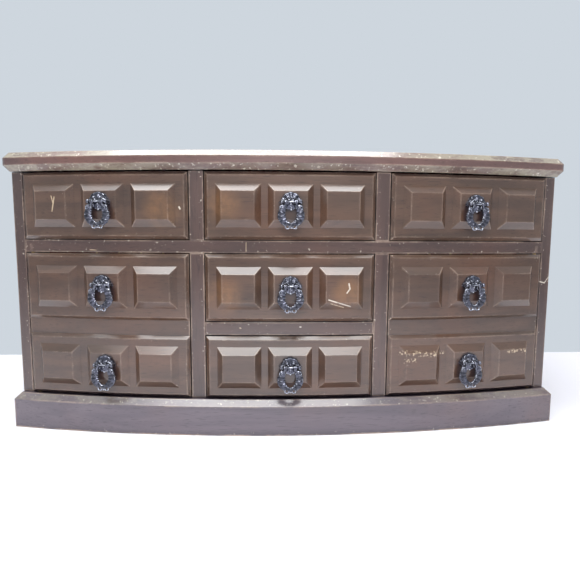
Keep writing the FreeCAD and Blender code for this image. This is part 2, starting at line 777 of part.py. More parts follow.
def build_lid_hinges():
    """Two butt hinges: the case leaf holds the outer knuckles, the lid leaf the middle one."""
    third = "hinge_width / 3"
    case_leaves = []
    lid_leaves = []
    for side, sign in (("left", "-"), ("right", "")):
        middle = f"{sign}hinge_from_middle"
        x = (f"{middle} - hinge_width / 2", f"{middle} + hinge_width / 2")
        leaf_y = ("back_y", "back_y + leaf_thickness")
        bore = rod(f"hinge_{side}_bore", "hinge_pin_radius + running_gap", "hinge_width + 2",
                   (f"{x[0]} - 1", "hinge_y", "hinge_z"), "X")
        pieces = [block(f"case_leaf_{side}_plate", x, leaf_y,
                        ("hinge_z - leaf_tall", "hinge_z - knuckle_gap"))]
        for i, start in enumerate((x[0], f"{x[1]} - {third}")):
            pieces.append(rod(f"case_knuckle_{side}_{i}", "knuckle_radius", third,
                              (start, "hinge_y", "hinge_z"), "X"))
            pieces.append(block(f"case_web_{side}_{i}", (start, f"{start} + {third}"),
                                ("back_y + leaf_thickness / 2", "hinge_y"),
                                ("hinge_z - knuckle_radius * web_share", "hinge_z - knuckle_gap")))
        middle_gap = (f"{x[0]} + {third} - knuckle_gap", f"{x[1]} - {third} + knuckle_gap")
        space = block(f"case_space_{side}", middle_gap,
                      ("back_y - 1", "hinge_y + knuckle_radius + 1"),
                      ("hinge_z - knuckle_radius - knuckle_gap", "hinge_z + knuckle_radius + 1"))
        case_leaves.append(cut(f"case_leaf_{side}", join(f"case_leaf_{side}_solid", *pieces),
                               bore, space))
        lid_knuckle = (f"{x[0]} + {third} + knuckle_gap / 2", f"{third} - knuckle_gap")
        lid_pieces = [
            block(f"lid_leaf_{side}_plate", x, leaf_y,
                  ("lid_low + knuckle_radius + knuckle_gap", "lid_low + leaf_tall")),
            block(f"lid_web_{side}", (lid_knuckle[0], f"{lid_knuckle[0]} + {lid_knuckle[1]}"),
                  ("back_y + knuckle_stand - knuckle_radius", "back_y + leaf_thickness"),
                  ("hinge_z + web_lift", "lid_low + leaf_tall / 2")),
            rod(f"lid_knuckle_{side}", "knuckle_radius", lid_knuckle[1],
                (lid_knuckle[0], "hinge_y", "hinge_z"), "X"),
            rod(f"hinge_pin_{side}", "hinge_pin_radius",
                "hinge_width + 2 * hinge_pin_proud",
                (f"{x[0]} - hinge_pin_proud", "hinge_y", "hinge_z"), "X"),
        ]
        lid_leaves.append(join(f"lid_leaf_{side}", *lid_pieces))
    node("hinge_leaves_case", group("hinge_leaves_case", *case_leaves))
    node("hinge_leaves_lid", group("hinge_leaves_lid", *lid_leaves))


# Tray under the lid: two side compartments, each halved, and a bay of ring rolls between them.

def build_tray():
    """A floor board, walls and dividers, glued up edge to edge."""
    outer = "(inner_half_width - tray_gap)"
    inner = "(inner_half_width - tray_gap - tray_wall)"
    bay = "ring_bay_half_width"
    bay_outer = "(ring_bay_half_width + tray_wall / 2)"
    bay_inner = "(ring_bay_half_width - tray_wall / 2)"
    on_floor = ("tray_low + tray_floor", "case_top - tray_top_gap")
    back = "back_inner_y - tray_gap"
    inside_back = f"{back} - tray_back_wall"
    roll_back = "(ring_bay_y + 2 * roll_count * (roll_radius + roll_clear))"
    halfway = ("tray_middle_y - tray_wall / 2", "tray_middle_y + tray_wall / 2")
    rod_hole = rod("tray_rod_hole", "rod_radius + rod_clear", "case_top - tray_low",
                   ("rod_from_middle", "rod_y", "tray_low - 1"))
    floor = behind("tray_floor_board", (f"-{outer}", outer), back,
                   ("tray_low", "tray_low + tray_floor"), tray_drum)
    back_wall = block("tray_back_board", (f"-{outer}", outer), (inside_back, back), on_floor)
    pieces = [
        cut("tray_floor_drilled", floor, rod_hole),
        cut("tray_back_drilled", back_wall, rod_hole),
        behind("tray_front_middle", (f"-{bay_outer}", bay_outer), "ring_bay_y", on_floor, tray_drum),
        block("tray_roll_wall", (f"-{bay_inner}", bay_inner), (roll_back, f"{roll_back} + tray_wall"),
              on_floor),
    ]
    for side, wall, pocket, divider in (
            ("left", (f"-{outer}", f"-{inner}"), (f"-{inner}", f"-{bay_outer}"),
             (f"-{bay_outer}", f"-{bay_inner}")),
            ("right", (inner, outer), (bay_outer, inner), (bay_inner, bay_outer))):
        front = behind(f"tray_front_{side}_whole", pocket, "tray_middle_y", on_floor, tray_drum)
        pieces += [
            behind(f"tray_wall_{side}", wall, inside_back, on_floor, tray_drum),
            cut(f"tray_front_{side}", front, tray_inner_drum),
            block(f"tray_divider_{side}", divider, ("ring_bay_y", inside_back), on_floor),
            block(f"tray_cross_{side}", pocket, halfway, on_floor),
        ]
    node("top_tray", group("top_tray", *pieces))
    rolls = []
    for i in range(int(value("roll_count"))):
        place = f"ring_bay_y + {2 * i + 1} * (roll_radius + roll_clear)"
        rolls.append(rod(f"ring_roll_{i}", "roll_radius", f"2 * ({bay} - roll_end_gap) - tray_wall",
                         (f"-{bay} + tray_wall / 2 + roll_end_gap", place,
                          "tray_low + tray_floor + roll_radius"), "X"))
    node("ring_rolls", group("ring_rolls", *rolls))


# Necklace hooks hang from the dust board behind each door.

def build_hooks():
    hooks = []
    count = int(value("hook_count"))
    for side, middle in (("left", "-side_middle"), ("right", "side_middle")):
        for i in range(count):
            place = f"{middle} + {i - (count - 1) / 2} * hook_pitch"
            top = "upper_rail_top - shelf_thickness"
            y = "front_y + hook_from_front"
            pieces = [
                rod(f"hook_{side}_{i}_stem", "hook_radius", "hook_drop",
                    (place, y, f"{top} - hook_drop")),
                rod(f"hook_{side}_{i}_arm", "hook_radius", "hook_reach",
                    (place, f"{y} - hook_reach", f"{top} - hook_drop"), "Y"),
                ball(f"hook_{side}_{i}_elbow", "hook_radius", (place, y, f"{top} - hook_drop")),
                ball(f"hook_{side}_{i}_tip", "hook_radius * hook_tip_share",
                     (place, f"{y} - hook_reach", f"{top} - hook_drop")),
            ]
            hooks.append(join(f"hook_{side}_{i}", *pieces))
    node("necklace_hooks", group("necklace_hooks", *hooks))


# Music movement: stands on its bedplate against the back panel, behind the top middle drawer.

def toothed_wheel(name, tip, root, teeth, width):
    """A wheel with plain trapezoid teeth, its axis along X, centred on the origin."""
    points = []
    for i in range(teeth):
        for share, radius in ((0.0, root), (0.2, tip), (0.5, tip), (0.7, root)):
            angle = 2 * math.pi * (i + share) / teeth
            points.append(Vector(0, radius * math.cos(angle), radius * math.sin(angle)))
    points.append(points[0])
    item = doc.addObject("Part::Feature", name)
    item.Shape = Part.Face(Part.makePolygon(points)).extrude(Vector(width, 0, 0))
    return item


def build_movement():
    bed = board("bedplate_board", ("-bedplate_width / 2", "bedplate_width / 2"),
                ("bed_face_y", "back_inner_y"), ("movement_z", "movement_z + bedplate_tall"))
    arbor_hole = rod("bedplate_hole", "key_hole_radius", "bedplate_thickness + 2",
                     ("-barrel_from_middle", "bed_face_y - 1", "movement_mid_z"), "Y")
    drum_x = ("drum_from_middle - drum_length / 2", "drum_from_middle + drum_length / 2")
    cheeks = []
    for i, start in enumerate((f"{drum_x[0]} - drum_side_gap - drum_cheek",
                               f"{drum_x[1]} + drum_side_gap")):
        cheeks.append(block(f"drum_cheek_{i}", (start, f"{start} + drum_cheek"),
                            ("drum_y - drum_cheek_half", "bed_face_y"),
                            ("drum_z - drum_cheek_half", "drum_z + drum_cheek_half")))
    solid = join("bedplate_solid", bed, *cheeks)
    axle_bore = rod("drum_bore", "drum_axle_radius + running_gap", "drum_length + 2 * overrun",
                    (f"{drum_x[0]} - overrun", "drum_y", "drum_z"), "X")
    node("movement_bedplate", cut("movement_bedplate", solid, arbor_hole, axle_bore))

    barrel_low = "bed_face_y - barrel_gap - barrel_length"
    node("spring_barrel", join(
        "spring_barrel",
        rod("barrel_drum", "barrel_radius", "barrel_length",
            ("-barrel_from_middle", barrel_low, "movement_mid_z"), "Y"),
        rod("barrel_cap", "barrel_radius * barrel_cap_share", "barrel_cap",
            ("-barrel_from_middle", f"{barrel_low} - barrel_cap", "movement_mid_z"), "Y"),
        rod("barrel_arbor", "arbor_radius", "back_thickness + bedplate_thickness + barrel_gap"
            " + key_stand + key_socket",
            ("-barrel_from_middle", "bed_face_y - barrel_gap", "movement_mid_z"), "Y")))

    stem_y = "back_y + key_stand"
    wings = [rod(f"key_wing_{i}", "key_lobe", "key_wing_thickness",
                 (f"-barrel_from_middle {shift} key_wing", f"{stem_y} + key_grip - key_lobe",
                  "movement_mid_z - key_wing_thickness / 2"))
             for i, shift in enumerate(("-", "+"))]
    stem = rod("key_stem", "arbor_radius * key_stem_share", "key_grip - key_stem_short",
               ("-barrel_from_middle", f"{stem_y} - 1", "movement_mid_z"), "Y")
    web = block("key_web", ("-barrel_from_middle - key_wing", "-barrel_from_middle + key_wing"),
                (f"{stem_y} + key_web_start", f"{stem_y} + key_grip - key_stem_short"),
                ("movement_mid_z - key_wing_thickness / 2", "movement_mid_z + key_wing_thickness / 2"))
    socket = rod("key_socket", "arbor_radius", "key_socket + 2",
                 ("-barrel_from_middle", f"{stem_y} - 2", "movement_mid_z"), "Y")
    node("winding_key", cut("winding_key", join("winding_key_solid", stem, web, *wings), socket))

    drum = join(
        "music_drum",
        rod("drum_body", "drum_radius", "drum_length", (drum_x[0], "drum_y", "drum_z"), "X"),
        rod("drum_axle", "drum_axle_radius", "drum_length + 2 * drum_side_gap + 2 * drum_cheek",
            (f"{drum_x[0]} - drum_side_gap - drum_cheek", "drum_y", "drum_z"), "X"))
    node("music_drum", drum)

    teeth = int(value("comb_teeth"))
    tip_z = value("drum_z") + value("drum_radius") + value("comb_gap")
    top_z = value("movement_z") + value("bedplate_tall")
    low_x = value("drum_from_middle") - value("drum_length") / 2
    pitch = value("drum_length") / teeth
    root_z = tip_z + (top_z - tip_z) * value("comb_root_share")
    tooth = pitch * value("comb_tooth_share")
    outline = [Vector(low_x, 0, top_z)]
    for i in range(teeth):
        left = low_x + i * pitch
        outline += [Vector(left, 0, root_z), Vector(left, 0, tip_z),
                    Vector(left + tooth, 0, tip_z), Vector(left + tooth, 0, root_z)]
    outline += [Vector(low_x + value("drum_length"), 0, root_z),
                Vector(low_x + value("drum_length"), 0, top_z)]
    outline.append(outline[0])
    comb = doc.addObject("Part::Feature", "comb_steel")
    comb.Shape = Part.Face(Part.makePolygon(outline)).extrude(Vector(0, value("comb_thickness"), 0))
    comb.Placement = Placement(Vector(0, value("drum_y") - value("comb_thickness") / 2, 0),
                               Rotation())
    saddle = block("comb_saddle", drum_x, ("drum_y + comb_thickness / 2", "bed_face_y"),
                   ("drum_z + drum_radius + comb_gap + saddle_rise", "movement_z + bedplate_tall"))
    node("music_comb", join("music_comb", comb, saddle))

    build_governor()

    screws = []
    for i, x in enumerate(("-bedplate_width / 2 + screw_inset",
                           "barrel_radius - barrel_from_middle + screw_inset")):
        screws.append(rod(f"bed_screw_{i}", "screw_radius", "screw_head",
                          (x, "bed_face_y - screw_head", "movement_z + screw_from_edge"), "Y"))
    for i, x in enumerate(("drum_from_middle - comb_screw_from_middle",
                           "drum_from_middle + comb_screw_from_middle")):
        screws.append(rod(f"comb_screw_{i}", "screw_radius", "comb_screw_head",
                          (x, "drum_y - comb_thickness / 2 - comb_screw_head",
                           "movement_z + bedplate_tall - screw_from_edge"), "Y"))
    node("movement_screws", group("movement_screws", *screws))


def build_governor():
    """A wheel on a cross axle beside an upright fan shaft, both in one bracket."""
    middle = "governor_from_middle"
    wheel = toothed_wheel("governor_wheel_rim", value("wheel_radius"),
                          value("wheel_radius") - value("tooth_depth"), int(value("wheel_teeth")),
                          value("wheel_width"))
    wheel.Placement = Placement(Vector(value(middle) - value("wheel_width") / 2,
                                       value("drum_y"), value("drum_z")), Rotation())
    half = "(bracket_gap + bracket_plate)"
    node("governor_wheel", join(
        "governor_wheel", wheel,
        rod("governor_wheel_axle", "wheel_axle_radius", f"2 * {half} - bracket_plate",
            (f"{middle} - {half} + bracket_plate / 2", "drum_y", "drum_z"), "X")))
    shelf_low = "fan_z - 2 * wheel_radius - 4 * mesh_gap"
    shelf_high = "fan_z + fan_tall + 2 * mesh_gap"
    node("governor_fan", join(
        "governor_fan",
        rod("fan_shaft", "fan_shaft_radius", f"({shelf_high}) - ({shelf_low}) + 2 * fan_shaft_end",
            (middle, "fan_y", f"{shelf_low} - fan_shaft_end")),
        block("fan_blade", (f"{middle} - fan_radius", f"{middle} + fan_radius"),
              ("fan_y - fan_blade_thickness / 2", "fan_y + fan_blade_thickness / 2"),
              ("fan_z", "fan_z + fan_tall"))))
    across = (f"{middle} - {half}", f"{middle} + {half}")
    shelf_y = ("fan_y - bracket_shelf_reach", "bed_face_y")
    cheek_y = ("drum_y - bracket_cheek_reach", "bed_face_y")
    tall = (f"{shelf_low} - bracket_plate", f"{shelf_high} + bracket_plate")
    bracket = join(
        "governor_bracket_solid",
        block("bracket_low", across, shelf_y, (tall[0], shelf_low)),
        block("bracket_high", across, shelf_y, (shelf_high, tall[1])),
        block("bracket_outer", (f"{middle} + bracket_gap", across[1]), cheek_y, tall),
        block("bracket_inner", (across[0], f"{middle} - bracket_gap"), cheek_y, tall))
    fan_bore = rod("fan_bore", "fan_shaft_radius + running_gap", f"({tall[1]}) - ({tall[0]}) + 2",
                   (middle, "fan_y", f"{tall[0]} - 1"))
    wheel_bore = rod("wheel_bore", "wheel_axle_radius + running_gap", f"2 * {half} + 2",
                     (f"{across[0]} - 1", "drum_y", "drum_z"), "X")
    node("governor_bracket", cut("governor_bracket", bracket, fan_bore, wheel_bore))
    arm_z = "fan_z + fan_tall / 2"
    node("stop_rod", join(
        "stop_rod",
        rod("stop_rod_wire", "rod_radius", f"case_top - rod_radius - ({arm_z})",
            ("rod_from_middle", "rod_y", arm_z)),
        ball("stop_rod_tip", "rod_radius", ("rod_from_middle", "rod_y", "case_top - rod_radius")),
        ball("stop_rod_heel", "rod_radius", ("rod_from_middle", "rod_y", arm_z)),
        rod("stop_rod_arm", "rod_radius", "rod_y - fan_y", ("rod_from_middle", "fan_y", arm_z), "Y"),
        ball("stop_rod_elbow", "rod_radius", ("rod_from_middle", "fan_y", arm_z)),
        rod("stop_rod_finger", "rod_radius * finger_share", f"rod_from_middle - ({across[1]}) - mesh_gap",
            (f"{across[1]} + mesh_gap", "fan_y", arm_z), "X")))


def check_and_write():
    doc.recompute()
    faults = [item.Name for item in doc.Objects
              if "Invalid" in item.State or "Error" in item.State]
    if faults:
        raise SystemExit(f"failed objects: {faults}")
    os.makedirs("parts", exist_ok=True)
    for item in NODES:
        if item.Shape.isNull() or not item.Shape.isValid():
            raise SystemExit(f"bad shape: {item.Label}")
        item.Shape.exportStep(f"parts/{item.Label}.step")
    print(len(NODES), "nodes")


build_plinth()
build_case()
build_face_frame()
build_door_pins()
for drawer, spec in DRAWERS.items():
    build_drawer(drawer, *spec)
for door_side in ("left", "right"):
    build_door(door_side)
build_lid()
build_lid_hinges()
build_tray()
build_hooks()
build_movement()
check_and_write()
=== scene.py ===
import json
import math
import random

import bpy
import bmesh
from mathutils import Matrix, Vector, noise

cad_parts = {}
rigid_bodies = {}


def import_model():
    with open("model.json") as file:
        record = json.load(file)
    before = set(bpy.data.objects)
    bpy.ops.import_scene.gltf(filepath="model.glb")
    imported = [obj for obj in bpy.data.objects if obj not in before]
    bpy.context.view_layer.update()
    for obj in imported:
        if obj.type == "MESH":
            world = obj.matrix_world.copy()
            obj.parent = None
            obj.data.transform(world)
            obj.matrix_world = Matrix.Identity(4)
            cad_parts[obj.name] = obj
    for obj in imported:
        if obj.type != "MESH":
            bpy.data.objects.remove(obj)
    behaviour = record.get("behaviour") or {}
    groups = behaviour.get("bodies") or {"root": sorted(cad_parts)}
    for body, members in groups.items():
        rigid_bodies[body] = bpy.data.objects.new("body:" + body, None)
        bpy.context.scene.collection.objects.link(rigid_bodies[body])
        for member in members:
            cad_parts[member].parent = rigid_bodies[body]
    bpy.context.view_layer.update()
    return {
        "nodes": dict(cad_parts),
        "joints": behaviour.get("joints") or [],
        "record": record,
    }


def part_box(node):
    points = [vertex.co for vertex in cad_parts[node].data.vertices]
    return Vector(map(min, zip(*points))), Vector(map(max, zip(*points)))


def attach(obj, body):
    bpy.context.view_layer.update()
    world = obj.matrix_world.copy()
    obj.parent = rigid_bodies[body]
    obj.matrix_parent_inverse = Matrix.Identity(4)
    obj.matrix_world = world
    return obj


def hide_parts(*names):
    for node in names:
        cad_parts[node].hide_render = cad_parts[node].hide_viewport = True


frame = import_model()

MM = 0.001
JOINTS = {joint["name"]: joint for joint in frame["joints"]}
BODY_OF = {node: body for body, nodes in frame["record"]["behaviour"]["bodies"].items()
           for node in nodes}

# The camera: a wide lens close in front of the box, found from the edges of the case in the
# photograph. Turns are in radians.
CAMERA_PLACE = (-13.3 * MM, -436.1 * MM, 138.2 * MM)
CAMERA_YAW = -0.0401
CAMERA_PITCH = -0.1078
CAMERA_ROLL = 0.0047
CAMERA_FOCAL_PIXELS = 474.7
IMAGE_SIDE = 580
SENSOR_WIDTH = 36.0

# Colours are written as the photograph shows them, in sRGB from 0 to 255.
WALL = (206, 214, 222)
TABLE = (243, 243, 250)
SKY = (214, 222, 240)

# The table, in metres: half its side, and how far back the wall's colour starts and is full.
TABLE_HALF = 4.0
WALL_STARTS, WALL_FULL = 0.125, 0.128
# Light from all round, as a strength of the world.
SKY_STRENGTH = 0.17


def linear(rgb):
    """A colour written as sRGB 0 to 255, as the linear RGBA that shaders take."""
    found = []
    for part in rgb:
        share = part / 255
        found.append(share / 12.92 if share <= 0.04045 else ((share + 0.055) / 1.055) ** 2.4)
    return (*found, 1.0)


# Node trees

class Surface:
    """A material whose nodes are added by short calls, each taking sockets, numbers or colours."""

    def __init__(self, name):
        self.material = bpy.data.materials.new(name)
        self.material.use_nodes = True
        self.tree = self.material.node_tree
        self.shader = self.tree.nodes["Principled BSDF"]
        self.coordinates = self.add("ShaderNodeTexCoord").outputs["Object"]

    def add(self, kind, **settings):
        item = self.tree.nodes.new(kind)
        for key, value in settings.items():
            setattr(item, key, value)
        return item

    def feed(self, socket, value):
        if isinstance(value, bpy.types.NodeSocket):
            self.tree.links.new(value, socket)
        else:
            socket.default_value = value

    def set(self, **values):
        for key, value in values.items():
            self.feed(self.shader.inputs[key.replace("_", " ")], value)

    def math(self, operation, a, b=0.0, clamp=False):
        item = self.add("ShaderNodeMath", operation=operation, use_clamp=clamp)
        self.feed(item.inputs[0], a)
        self.feed(item.inputs[1], b)
        return item.outputs[0]

    def mix(self, share, a, b):
        item = self.add("ShaderNodeMix", data_type="RGBA", clamp_factor=True)
        self.feed(item.inputs["Factor"], share)
        self.feed(item.inputs["A"], a)
        self.feed(item.inputs["B"], b)
        return item.outputs["Result"]

    def mapped(self, stretch):
        item = self.add("ShaderNodeMapping")
        self.feed(item.inputs["Vector"], self.coordinates)
        item.inputs["Scale"].default_value = stretch
        return item.outputs["Vector"]

    def noise(self, scale, detail=3.0, stretch=(1, 1, 1), roughness=0.55, distortion=0.0):
        item = self.add("ShaderNodeTexNoise")
        self.feed(item.inputs["Vector"], self.mapped(stretch))
        item.inputs["Scale"].default_value = scale
        item.inputs["Detail"].default_value = detail
        item.inputs["Roughness"].default_value = roughness
        item.inputs["Distortion"].default_value = distortion
        return item.outputs["Fac"]

    def step(self, value, low, high, start=0.0, end=1.0):
        """A smooth rise from start to end as value goes from low to high."""
        item = self.add("ShaderNodeMapRange", interpolation_type="SMOOTHSTEP")
        self.feed(item.inputs["Value"], value)
        item.inputs["From Min"].default_value = low
        item.inputs["From Max"].default_value = high
        item.inputs["To Min"].default_value = start
        item.inputs["To Max"].default_value = end
        return item.outputs["Result"]

    def convex(self, reach):
        """1 along outer edges and 0 on flats, from rays cast inside the solid."""
        item = self.add("ShaderNodeAmbientOcclusion", samples=6, inside=True, only_local=True)
        item.inputs["Distance"].default_value = reach
        return self.math("SUBTRACT", 1.0, item.outputs["AO"])

    def hollow(self, reach):
        """1 deep in corners and gaps and 0 in the open."""
        item = self.add("ShaderNodeAmbientOcclusion", samples=6)
        item.inputs["Distance"].default_value = reach
        return self.math("SUBTRACT", 1.0, item.outputs["AO"])

    def bump(self, height, distance, strength=1.0):
        item = self.add("ShaderNodeBump")
        item.inputs["Distance"].default_value = distance
        item.inputs["Strength"].default_value = strength
        self.feed(item.inputs["Height"], height)
        self.feed(self.shader.inputs["Normal"], item.outputs["Normal"])

    def segment(self, start, end, width):
        """1 on a thin mark from start to end, points (x, z) on the front in metres."""
        split = self.add("ShaderNodeSeparateXYZ")
        self.feed(split.inputs[0], self.coordinates)
        x = self.math("SUBTRACT", split.outputs["X"], start[0])
        z = self.math("SUBTRACT", split.outputs["Z"], start[1])
        run = (end[0] - start[0], end[1] - start[1])
        length = math.hypot(*run)
        step_x, step_z = run[0] / length, run[1] / length
        along = self.math("ADD", self.math("MULTIPLY", x, step_x),
                          self.math("MULTIPLY", z, step_z))
        offset = self.math("SUBTRACT", self.math("MULTIPLY", x, step_z),
                           self.math("MULTIPLY", z, step_x))
        across = self.math("ABSOLUTE", offset)
        beyond = self.math("MAXIMUM", self.math("SUBTRACT", along, length),
                           self.math("MULTIPLY", along, -1.0))
        distance = self.math("MAXIMUM", across, beyond)
        return self.step(distance, 0.3 * width, width, 1.0, 0.0)

    def spot(self, centre, radius):
        """1 at a point (x, z) on the front, in metres, fading out to 0 at the radius."""
        offset = self.add("ShaderNodeVectorMath", operation="SUBTRACT")
        self.feed(offset.inputs[0], self.coordinates)
        offset.inputs[1].default_value = (centre[0], 0.0, centre[1])
        flat = self.add("ShaderNodeVectorMath", operation="MULTIPLY")
        self.feed(flat.inputs[0], offset.outputs[0])
        flat.inputs[1].default_value = (1.0, 0.0, 1.0)
        size = self.add("ShaderNodeVectorMath", operation="LENGTH")
        self.feed(size.inputs[0], flat.outputs[0])
        return self.step(size.outputs["Value"], 0.2 * radius, radius, 1.0, 0.0)


def stretched(grain, along, across):
    """Scales for a texture that runs along one axis, the grain."""
    return tuple(along if axis == grain else across for axis in "XYZ")


# Tints that the brown woods share.
BARE_EDGE = (168, 146, 128)
WARM_LACQUER = (146, 104, 64)
SOFT_SHADE = (54, 46, 62)
GAP_DIRT_AND_SHADE = (36, 30, 38)
CHIP = (206, 196, 178)
WORN_BEVEL = (148, 141, 122)
BEVEL_SPECK = (214, 208, 190)


def worn_bevels(s, colour, grain, amount):
    """Rubs the sloping faces to bare grey wood, most towards the two ends, with paler specks."""
    facing = s.add("ShaderNodeSeparateXYZ")
    s.feed(facing.inputs[0], s.add("ShaderNodeNewGeometry").outputs["Normal"])
    tilt = s.math("ABSOLUTE", facing.outputs["Z"])
    slope = s.math("MULTIPLY", s.step(tilt, 0.25, 0.5), s.step(tilt, 0.85, 0.97, 1.0, 0.0))
    place = s.add("ShaderNodeSeparateXYZ")
    s.feed(place.inputs[0], s.coordinates)
    outer = s.step(s.math("ABSOLUTE", place.outputs["X"]), 40 * MM, 150 * MM, 0.45, 1.0)
    rough = s.noise(75.0, 6.0, stretched(grain, 0.5, 1.0), 0.8)
    worn = s.math("MULTIPLY", s.math("MULTIPLY", slope, outer), s.step(rough, 0.40, 0.58, 0.2, 1.0))
    colour = s.mix(s.math("MULTIPLY", worn, amount), colour, linear(WORN_BEVEL))
    specks = s.math("MULTIPLY", slope, s.step(s.noise(420.0, 3.0, roughness=0.7), 0.60, 0.68))
    return s.mix(s.math("MULTIPLY", specks, amount, clamp=True), colour, linear(BEVEL_SPECK))


def scratched(s, colour, lines, breaks):
    """Lays thin marks over a colour: start and end (x, z), half width and tint, in millimetres."""
    for start, end, width, tint in lines:
        ends = [(x * MM, z * MM) for x, z in (start, end)]
        broken = s.math("MULTIPLY", s.segment(*ends, width * MM), breaks)
        colour = s.mix(broken, colour, linear(tint))
    return colour


def wood(name, light, dark, grain, wear=0.45, gloss=0.30, coat=1.0, marks=(), scuffs=(), glows=(),
         bevel_wear=0.0):
    """Lacquered brown wood: fine grain, soft blotches, rubbed edges, chips, dirt and painted shade
    in corners.
    """
    s = Surface(name)
    streaks = s.noise(1.0, 4.0, stretched(grain, 7.0, 95.0), 0.5, 0.5)
    pores = s.noise(1.0, 2.0, stretched(grain, 80.0, 1300.0), 0.5)
    blotch = s.noise(13.0, 3.0)
    patch = s.noise(55.0, 4.0, roughness=0.7)
    fine = s.noise(620.0, 2.0, roughness=0.6)

    colour = s.mix(s.step(streaks, 0.30, 0.72), linear(dark), linear(light))
    warm = tuple(min(255, round(part * share)) for part, share in zip(light, (1.14, 1.0, 0.88)))
    deep = tuple(part * 0.7 for part in dark)
    colour = s.mix(s.step(blotch, 0.46, 0.75, 0.0, 0.5), colour, linear(warm))
    colour = s.mix(s.step(pores, 0.56, 0.72, 0.0, 0.5), colour, linear(deep))
    for centre, radius in glows:
        warmed = s.math("MULTIPLY", s.spot(centre, radius), s.step(patch, 0.35, 0.65, 0.35, 1.0))
        colour = s.mix(s.math("MULTIPLY", warmed, 0.42), colour, linear(WARM_LACQUER))

    # Painted shade: within 26 mm of other parts, as under the lid, the colour darkens to a cool
    # grey-brown.
    colour = s.mix(s.step(s.hollow(26 * MM), 0.35, 0.85, 0.0, 0.35), colour, linear(SOFT_SHADE))
    # Dirt and painted shade: deep in corners and gaps the colour darkens almost to black, standing
    # in for the gaps' shadows.
    colour = s.mix(s.step(s.hollow(7 * MM), 0.18, 0.64, 0.0, 0.9), colour, linear(GAP_DIRT_AND_SHADE))

    edge = s.convex(1.2 * MM)
    rubbed = s.math("MULTIPLY", s.step(edge, 0.03, 0.18), s.step(patch, 0.40, 0.62, 0.15, 1.0))
    rubbed = s.math("MULTIPLY", rubbed, wear, clamp=True)
    colour = s.mix(rubbed, colour, linear(BARE_EDGE))
    near_edge = s.step(s.convex(4.5 * MM), 0.10, 0.35)
    chips = s.math("MULTIPLY", near_edge, s.step(fine, 0.66, 0.72), clamp=True)
    if bevel_wear:
        colour = worn_bevels(s, colour, grain, bevel_wear)
    colour = s.mix(s.math("MULTIPLY", chips, 0.8), colour, linear(CHIP))
    colour = scratched(s, colour, marks, s.step(fine, 0.36, 0.5, 0.35, 1.0))
    colour = scratched(s, colour, scuffs, s.step(fine, 0.53, 0.60))

    s.set(Base_Color=colour, Coat_Weight=coat, Coat_Roughness=0.16, Coat_IOR=1.54,
          Specular_IOR_Level=0.3,
          Roughness=s.step(s.math("ADD", patch, rubbed), 0.3, 1.3, gloss, gloss + 0.25))
    swell = s.math("MULTIPLY", s.noise(150.0, 3.0), 0.5)
    height = s.math("ADD", swell, s.math("MULTIPLY", pores, 0.15))
    ripple = s.noise(1.0, 2.0, stretched(grain, 40.0, 160.0))
    height = s.math("ADD", height, s.math("MULTIPLY", ripple, 0.9))
    s.bump(s.math("SUBTRACT", height, chips), 0.10 * MM, 0.5)
    return s.material


def flock(name, pile, shade):
    """Short velvet pile with brushed patches and painted shade in its hollows."""
    s = Surface(name)
    brushed = s.noise(38.0, 4.0, roughness=0.6, distortion=0.6)
    pile_grain = s.noise(2600.0, 2.0)
    colour = s.mix(s.step(brushed, 0.35, 0.65), linear(shade), linear(pile))
    between, deep = (linear(tuple(p * share for p in shade)) for share in (0.55, 0.4))
    colour = s.mix(s.step(pile_grain, 0.45, 0.75, 0.0, 0.35), colour, between)
    # Painted shade: the pile darkens deep in corners and creases.
    colour = s.mix(s.step(s.hollow(6 * MM), 0.3, 0.9, 0.0, 0.6), colour, deep)
    s.set(Base_Color=colour, Roughness=0.92, Sheen_Weight=0.65, Sheen_Roughness=0.35,
          Sheen_Tint=linear(pile), Specular_IOR_Level=0.2)
    s.bump(s.math("ADD", s.math("MULTIPLY", brushed, 0.8), s.math("MULTIPLY", pile_grain, 0.5)),
           0.25 * MM, 0.8)
    return s.material


def antique(name):
    """Blue-black painted casting, rubbed to pewter where it stands proud."""
    s = Surface(name)
    grain = s.noise(900.0, 3.0, roughness=0.65)
    cloud = s.noise(160.0, 3.0)
    colour = s.mix(s.step(cloud, 0.35, 0.7), linear((42, 43, 53)), linear((84, 86, 101)))
    proud = s.step(s.convex(0.8 * MM), 0.13, 0.34)
    rub = s.math("MULTIPLY", proud, s.step(grain, 0.38, 0.56, 0.15, 1.0))
    colour = s.mix(rub, colour, linear((226, 229, 240)))
    colour = s.mix(s.step(s.hollow(1.6 * MM), 0.35, 0.85, 0.0, 0.85), colour, linear((14, 14, 20)))
    s.set(Base_Color=colour, Metallic=s.step(rub, 0.0, 0.6, 0.8, 0.95),
          Roughness=s.step(grain, 0.3, 0.7, 0.16, 0.32), Coat_Weight=0.4, Coat_Roughness=0.10)
    s.bump(grain, 0.10 * MM, 0.5)
    return s.material


def metal(name, bright, dull, gloss, age=0.5):
    """Plain metal with brush lines along X, tarnish clouds and darker corners."""
    s = Surface(name)
    cloud = s.noise(120.0, 4.0, roughness=0.7)
    lines = s.noise(1.0, 3.0, stretched("X", 120.0, 3600.0), 0.6)
    colour = s.mix(s.step(cloud, 0.35, 0.72, 0.0, age), linear(bright), linear(dull))
    tarnish = linear(tuple(p * 0.35 for p in dull))
    colour = s.mix(s.step(s.hollow(1.5 * MM), 0.35, 0.9, 0.0, 0.7), colour, tarnish)
    uneven = s.math("ADD", cloud, s.math("MULTIPLY", lines, 0.6))
    s.set(Base_Color=colour, Metallic=1.0, Roughness=s.step(uneven, 0.4, 1.2, gloss, gloss + 0.22))
    s.bump(lines, 0.04 * MM, 0.5)
    return s.material


